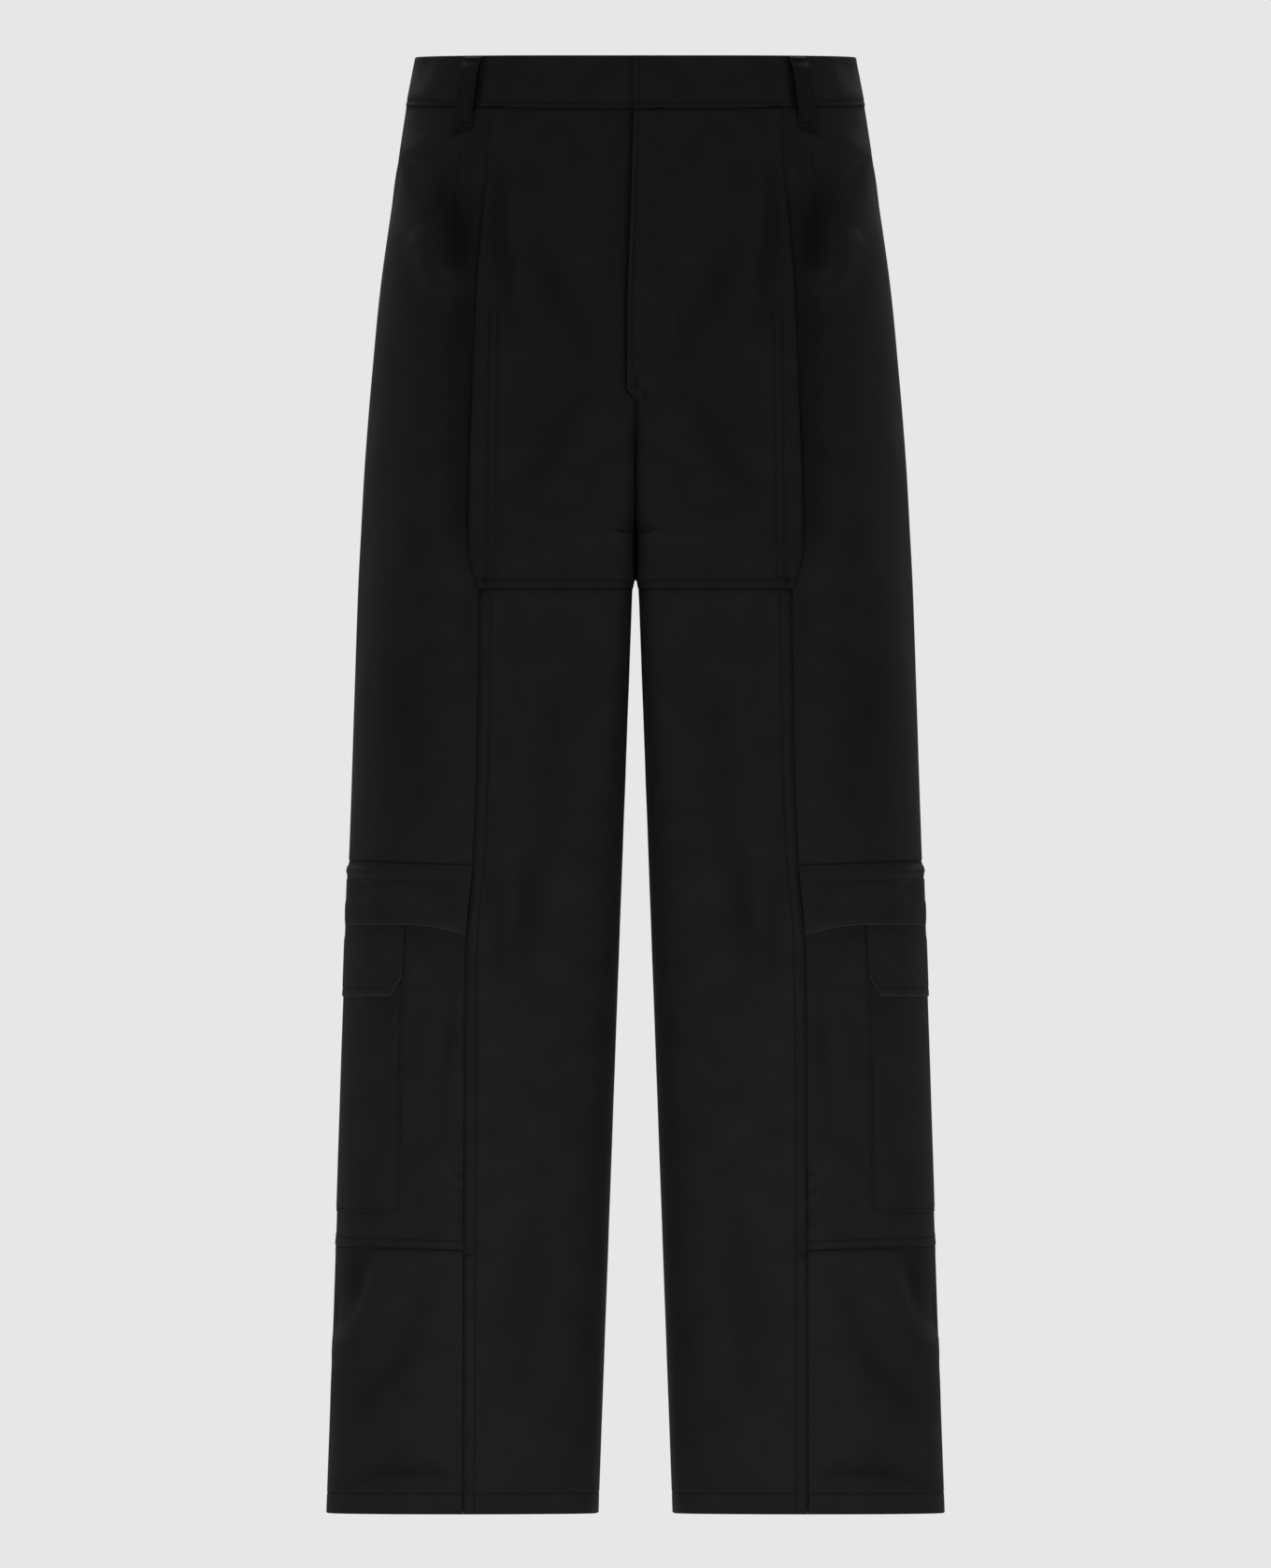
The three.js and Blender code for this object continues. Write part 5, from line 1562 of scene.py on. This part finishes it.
# %% Hand-made metal parts
def box(size, centre, bevel):
    """A box with bevelled edges, its place kept in its mesh, in millimetres."""
    deselect_all()
    bpy.ops.mesh.primitive_cube_add(size=1)
    obj = bpy.context.object
    bpy.ops.object.mode_set(mode="EDIT")
    bpy.ops.mesh.select_all(action="SELECT")
    bpy.ops.transform.resize(value=[v * MM for v in size])
    bpy.ops.mesh.bevel(offset=bevel * MM, segments=2, affect="EDGES")
    bpy.ops.mesh.select_all(action="SELECT")
    bpy.ops.transform.translate(value=[v * MM for v in centre])
    bpy.ops.object.mode_set(mode="OBJECT")
    return obj


def join(name, parts, material):
    """Joins boxes into one piece."""
    deselect_all()
    for part in parts:
        part.select_set(True)
    bpy.context.view_layer.objects.active = parts[0]
    bpy.ops.object.join()
    obj = bpy.context.object
    obj.name = obj.data.name = name
    obj.data.materials.clear()
    obj.data.materials.append(material)
    obj.data.shade_smooth()
    obj.select_set(True)
    bpy.ops.object.shade_smooth_by_angle(angle=math.radians(35))
    return obj


def lean(obj, pivot, angle):
    """Tilts a piece about a level line through pivot, in millimetres, so that it leans with the cloth."""
    there = Matrix.Translation(Vector(pivot) * MM)
    obj.data.transform(there @ Matrix.Rotation(angle, 4, "X") @ there.inverted())


front_y = reader(front)

# %% Zip teeth and slider
tooth = box((2.4, 1.2, 1.2), (0, 0, 0), 0.2)
bpy.ops.object.mode_set(mode="EDIT")
bpy.ops.mesh.select_all(action="DESELECT")
bpy.ops.object.mode_set(mode="OBJECT")
for face in tooth.data.polygons:
    face.select = face.normal.x > 0.9
bpy.ops.object.mode_set(mode="EDIT")
bpy.ops.transform.resize(value=(1.0, 0.7, 0.7))
bpy.ops.object.mode_set(mode="OBJECT")
TOOTH_POINTS = np.array([v.co for v in tooth.data.vertices], float)
TOOTH_FACES = [list(p.vertices) for p in tooth.data.polygons]
bpy.data.objects.remove(tooth, do_unlink=True)

TOOTH_PITCH = 1.5
heights = np.arange(ZIP_TOP + 12, ZIP_FOOT - 2, TOOTH_PITCH)
teeth_points, teeth_faces = [], []
for i, drop in enumerate(heights):
    hand = 1 if i % 2 else -1
    p = TOOTH_POINTS * (hand, 1, 1) + np.array([CHAIN_X + 0.85 * hand * -1, front_y(drop) + 5.3, -drop]) * MM
    faces = [f if hand > 0 else f[::-1] for f in TOOTH_FACES]
    teeth_faces += [[v + i * len(TOOTH_POINTS) for v in f] for f in faces]
    teeth_points.append(p)
mesh = bpy.data.meshes.new("zip_teeth")
mesh.from_pydata(np.concatenate(teeth_points).tolist(), [], teeth_faces)
mesh.materials.append(OXIDE)
zip_teeth = bpy.data.objects.new("zip_teeth", mesh)
bpy.context.scene.collection.objects.link(zip_teeth)
print("zip teeth", len(heights))

slider_top = ZIP_TOP + 3
lean_zip = math.atan2(float(front_y(80) - front_y(ZIP_TOP)), 80 - ZIP_TOP)
base_y = float(front_y(slider_top))
slider = join("slider_body", [
    box((6.0, 1.0, 9.6), (CHAIN_X, base_y + 2.75, -slider_top - 4.9), 0.3),
    box((5.4, 0.9, 8.0), (CHAIN_X, base_y + 3.75, -slider_top - 4.6), 0.25),
    box((1.2, 0.9, 6.5), (CHAIN_X, base_y + 2.15, -slider_top - 4.6), 0.2),
    box((3.4, 0.7, 18.0), (CHAIN_X, base_y + 2.5, -slider_top - 17.5), 0.25),
    box((4.6, 0.9, 4.4), (CHAIN_X, base_y + 2.5, -slider_top - 24.4), 0.3),
], OXIDE)
lean(slider, (CHAIN_X, base_y, -slider_top), lean_zip)

# %% Hook and bar
HOOK_DROP = 20.0
METAL = 0.5
band_lean = math.atan2(float(front_y(40) - front_y(0)), 40)
hook_y = float(mix(front_y(0), front_y(40), HOOK_DROP / 40))
plate = -LAP_SINK
tongue = plate + 2 * (METAL + GAP)
hook = join("hook_plate", [
    box((15.0, METAL, 8.0), (22.5, hook_y + plate + METAL / 2, -HOOK_DROP), 0.12),
    box((METAL, tongue + METAL - plate, 8.0), (15.25, hook_y + (plate + tongue + METAL) / 2, -HOOK_DROP), 0.12),
    box((6.5, METAL, 6.6), (18.2, hook_y + tongue + METAL / 2, -HOOK_DROP), 0.12),
    box((1.6, 0.3, 2.0), (27.4, hook_y + plate + METAL + 0.1, -HOOK_DROP + 2.2), 0.08),
    box((1.6, 0.3, 2.0), (27.4, hook_y + plate + METAL + 0.1, -HOOK_DROP - 2.2), 0.08),
], OXIDE)
face_y = plate + METAL + GAP
foot_y = -LAP_DEEP - GAP
bar = join("bar_strip", [
    box((3.0, METAL, 13.0), (18.5, hook_y + face_y + METAL / 2, -HOOK_DROP), 0.12),
    box((3.0, foot_y - face_y, 1.0), (18.5, hook_y + (face_y + foot_y) / 2, -HOOK_DROP + 6.0), 0.12),
    box((3.0, foot_y - face_y, 1.0), (18.5, hook_y + (face_y + foot_y) / 2, -HOOK_DROP - 6.0), 0.12),
], OXIDE)
for part in (hook, bar):
    lean(part, (18.5, hook_y, -HOOK_DROP), band_lean)

# %% Threads as joined meshes
THREAD_OBJECTS = {}
for group, batches in THREADS.items():
    points, faces, offset = [], [], 0
    for made, mirrored in batches:
        count = len(made)
        f = STITCH_FACES[None] + (np.arange(count) * len(STITCH_POINTS))[:, None, None] + offset
        faces.append((f[..., ::-1] if mirrored else f).reshape(-1, 3))
        points.append(made.reshape(-1, 3))
        offset += count * len(STITCH_POINTS)
    THREAD_OBJECTS[group] = new_object(group, np.concatenate(points) * MM, np.concatenate(faces), THREAD)
print("stitches", {k: len(v.data.polygons) // len(STITCH_FACES) for k, v in THREAD_OBJECTS.items()})

# %% [markdown]
# ## What stands for what
# Every piece rides on the one body and stands for its solid. Each piece of cloth says the size that it was cut to,
# which is measured along its own surface.

RESTS_ON = {
    "front_upper": "waistband", "side_upper": "waistband", "back": "waistband", "front_lower": "front_upper",
    "hip_welt": "side_upper", "cargo_backing": "side_upper", "cargo_pocket": "cargo_backing",
    "cargo_flap": "cargo_pocket", "side_patch": "cargo_pocket", "patch_flap": "side_patch",
    "side_lower": "cargo_backing", "waistband": "belt_loop_centre", "belt_loop_front": "waistband",
    "belt_loop_back": "waistband",
}
for piece in MADE:
    obj = PIECES[piece.name]
    kind, _, tag = piece.name.rpartition("_")
    on = "waistband_l" if piece.name in ("belt_loop_centre", "fly_zip") else RESTS_ON[kind]
    if on in RESTS_ON:
        on += "_" + tag
    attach(obj, "root")
    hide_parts(piece.name)
    print(piece.name, "cut to", [round(v * 1000) for v in piece.flat], "mm")

for obj, node in ((slider, "zip_slider"), (hook, "waist_hook"), (bar, "waist_bar")):
    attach(obj, "root")
    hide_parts(node)
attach(zip_teeth, "root")
for obj in THREAD_OBJECTS.values():
    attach(obj, "root")
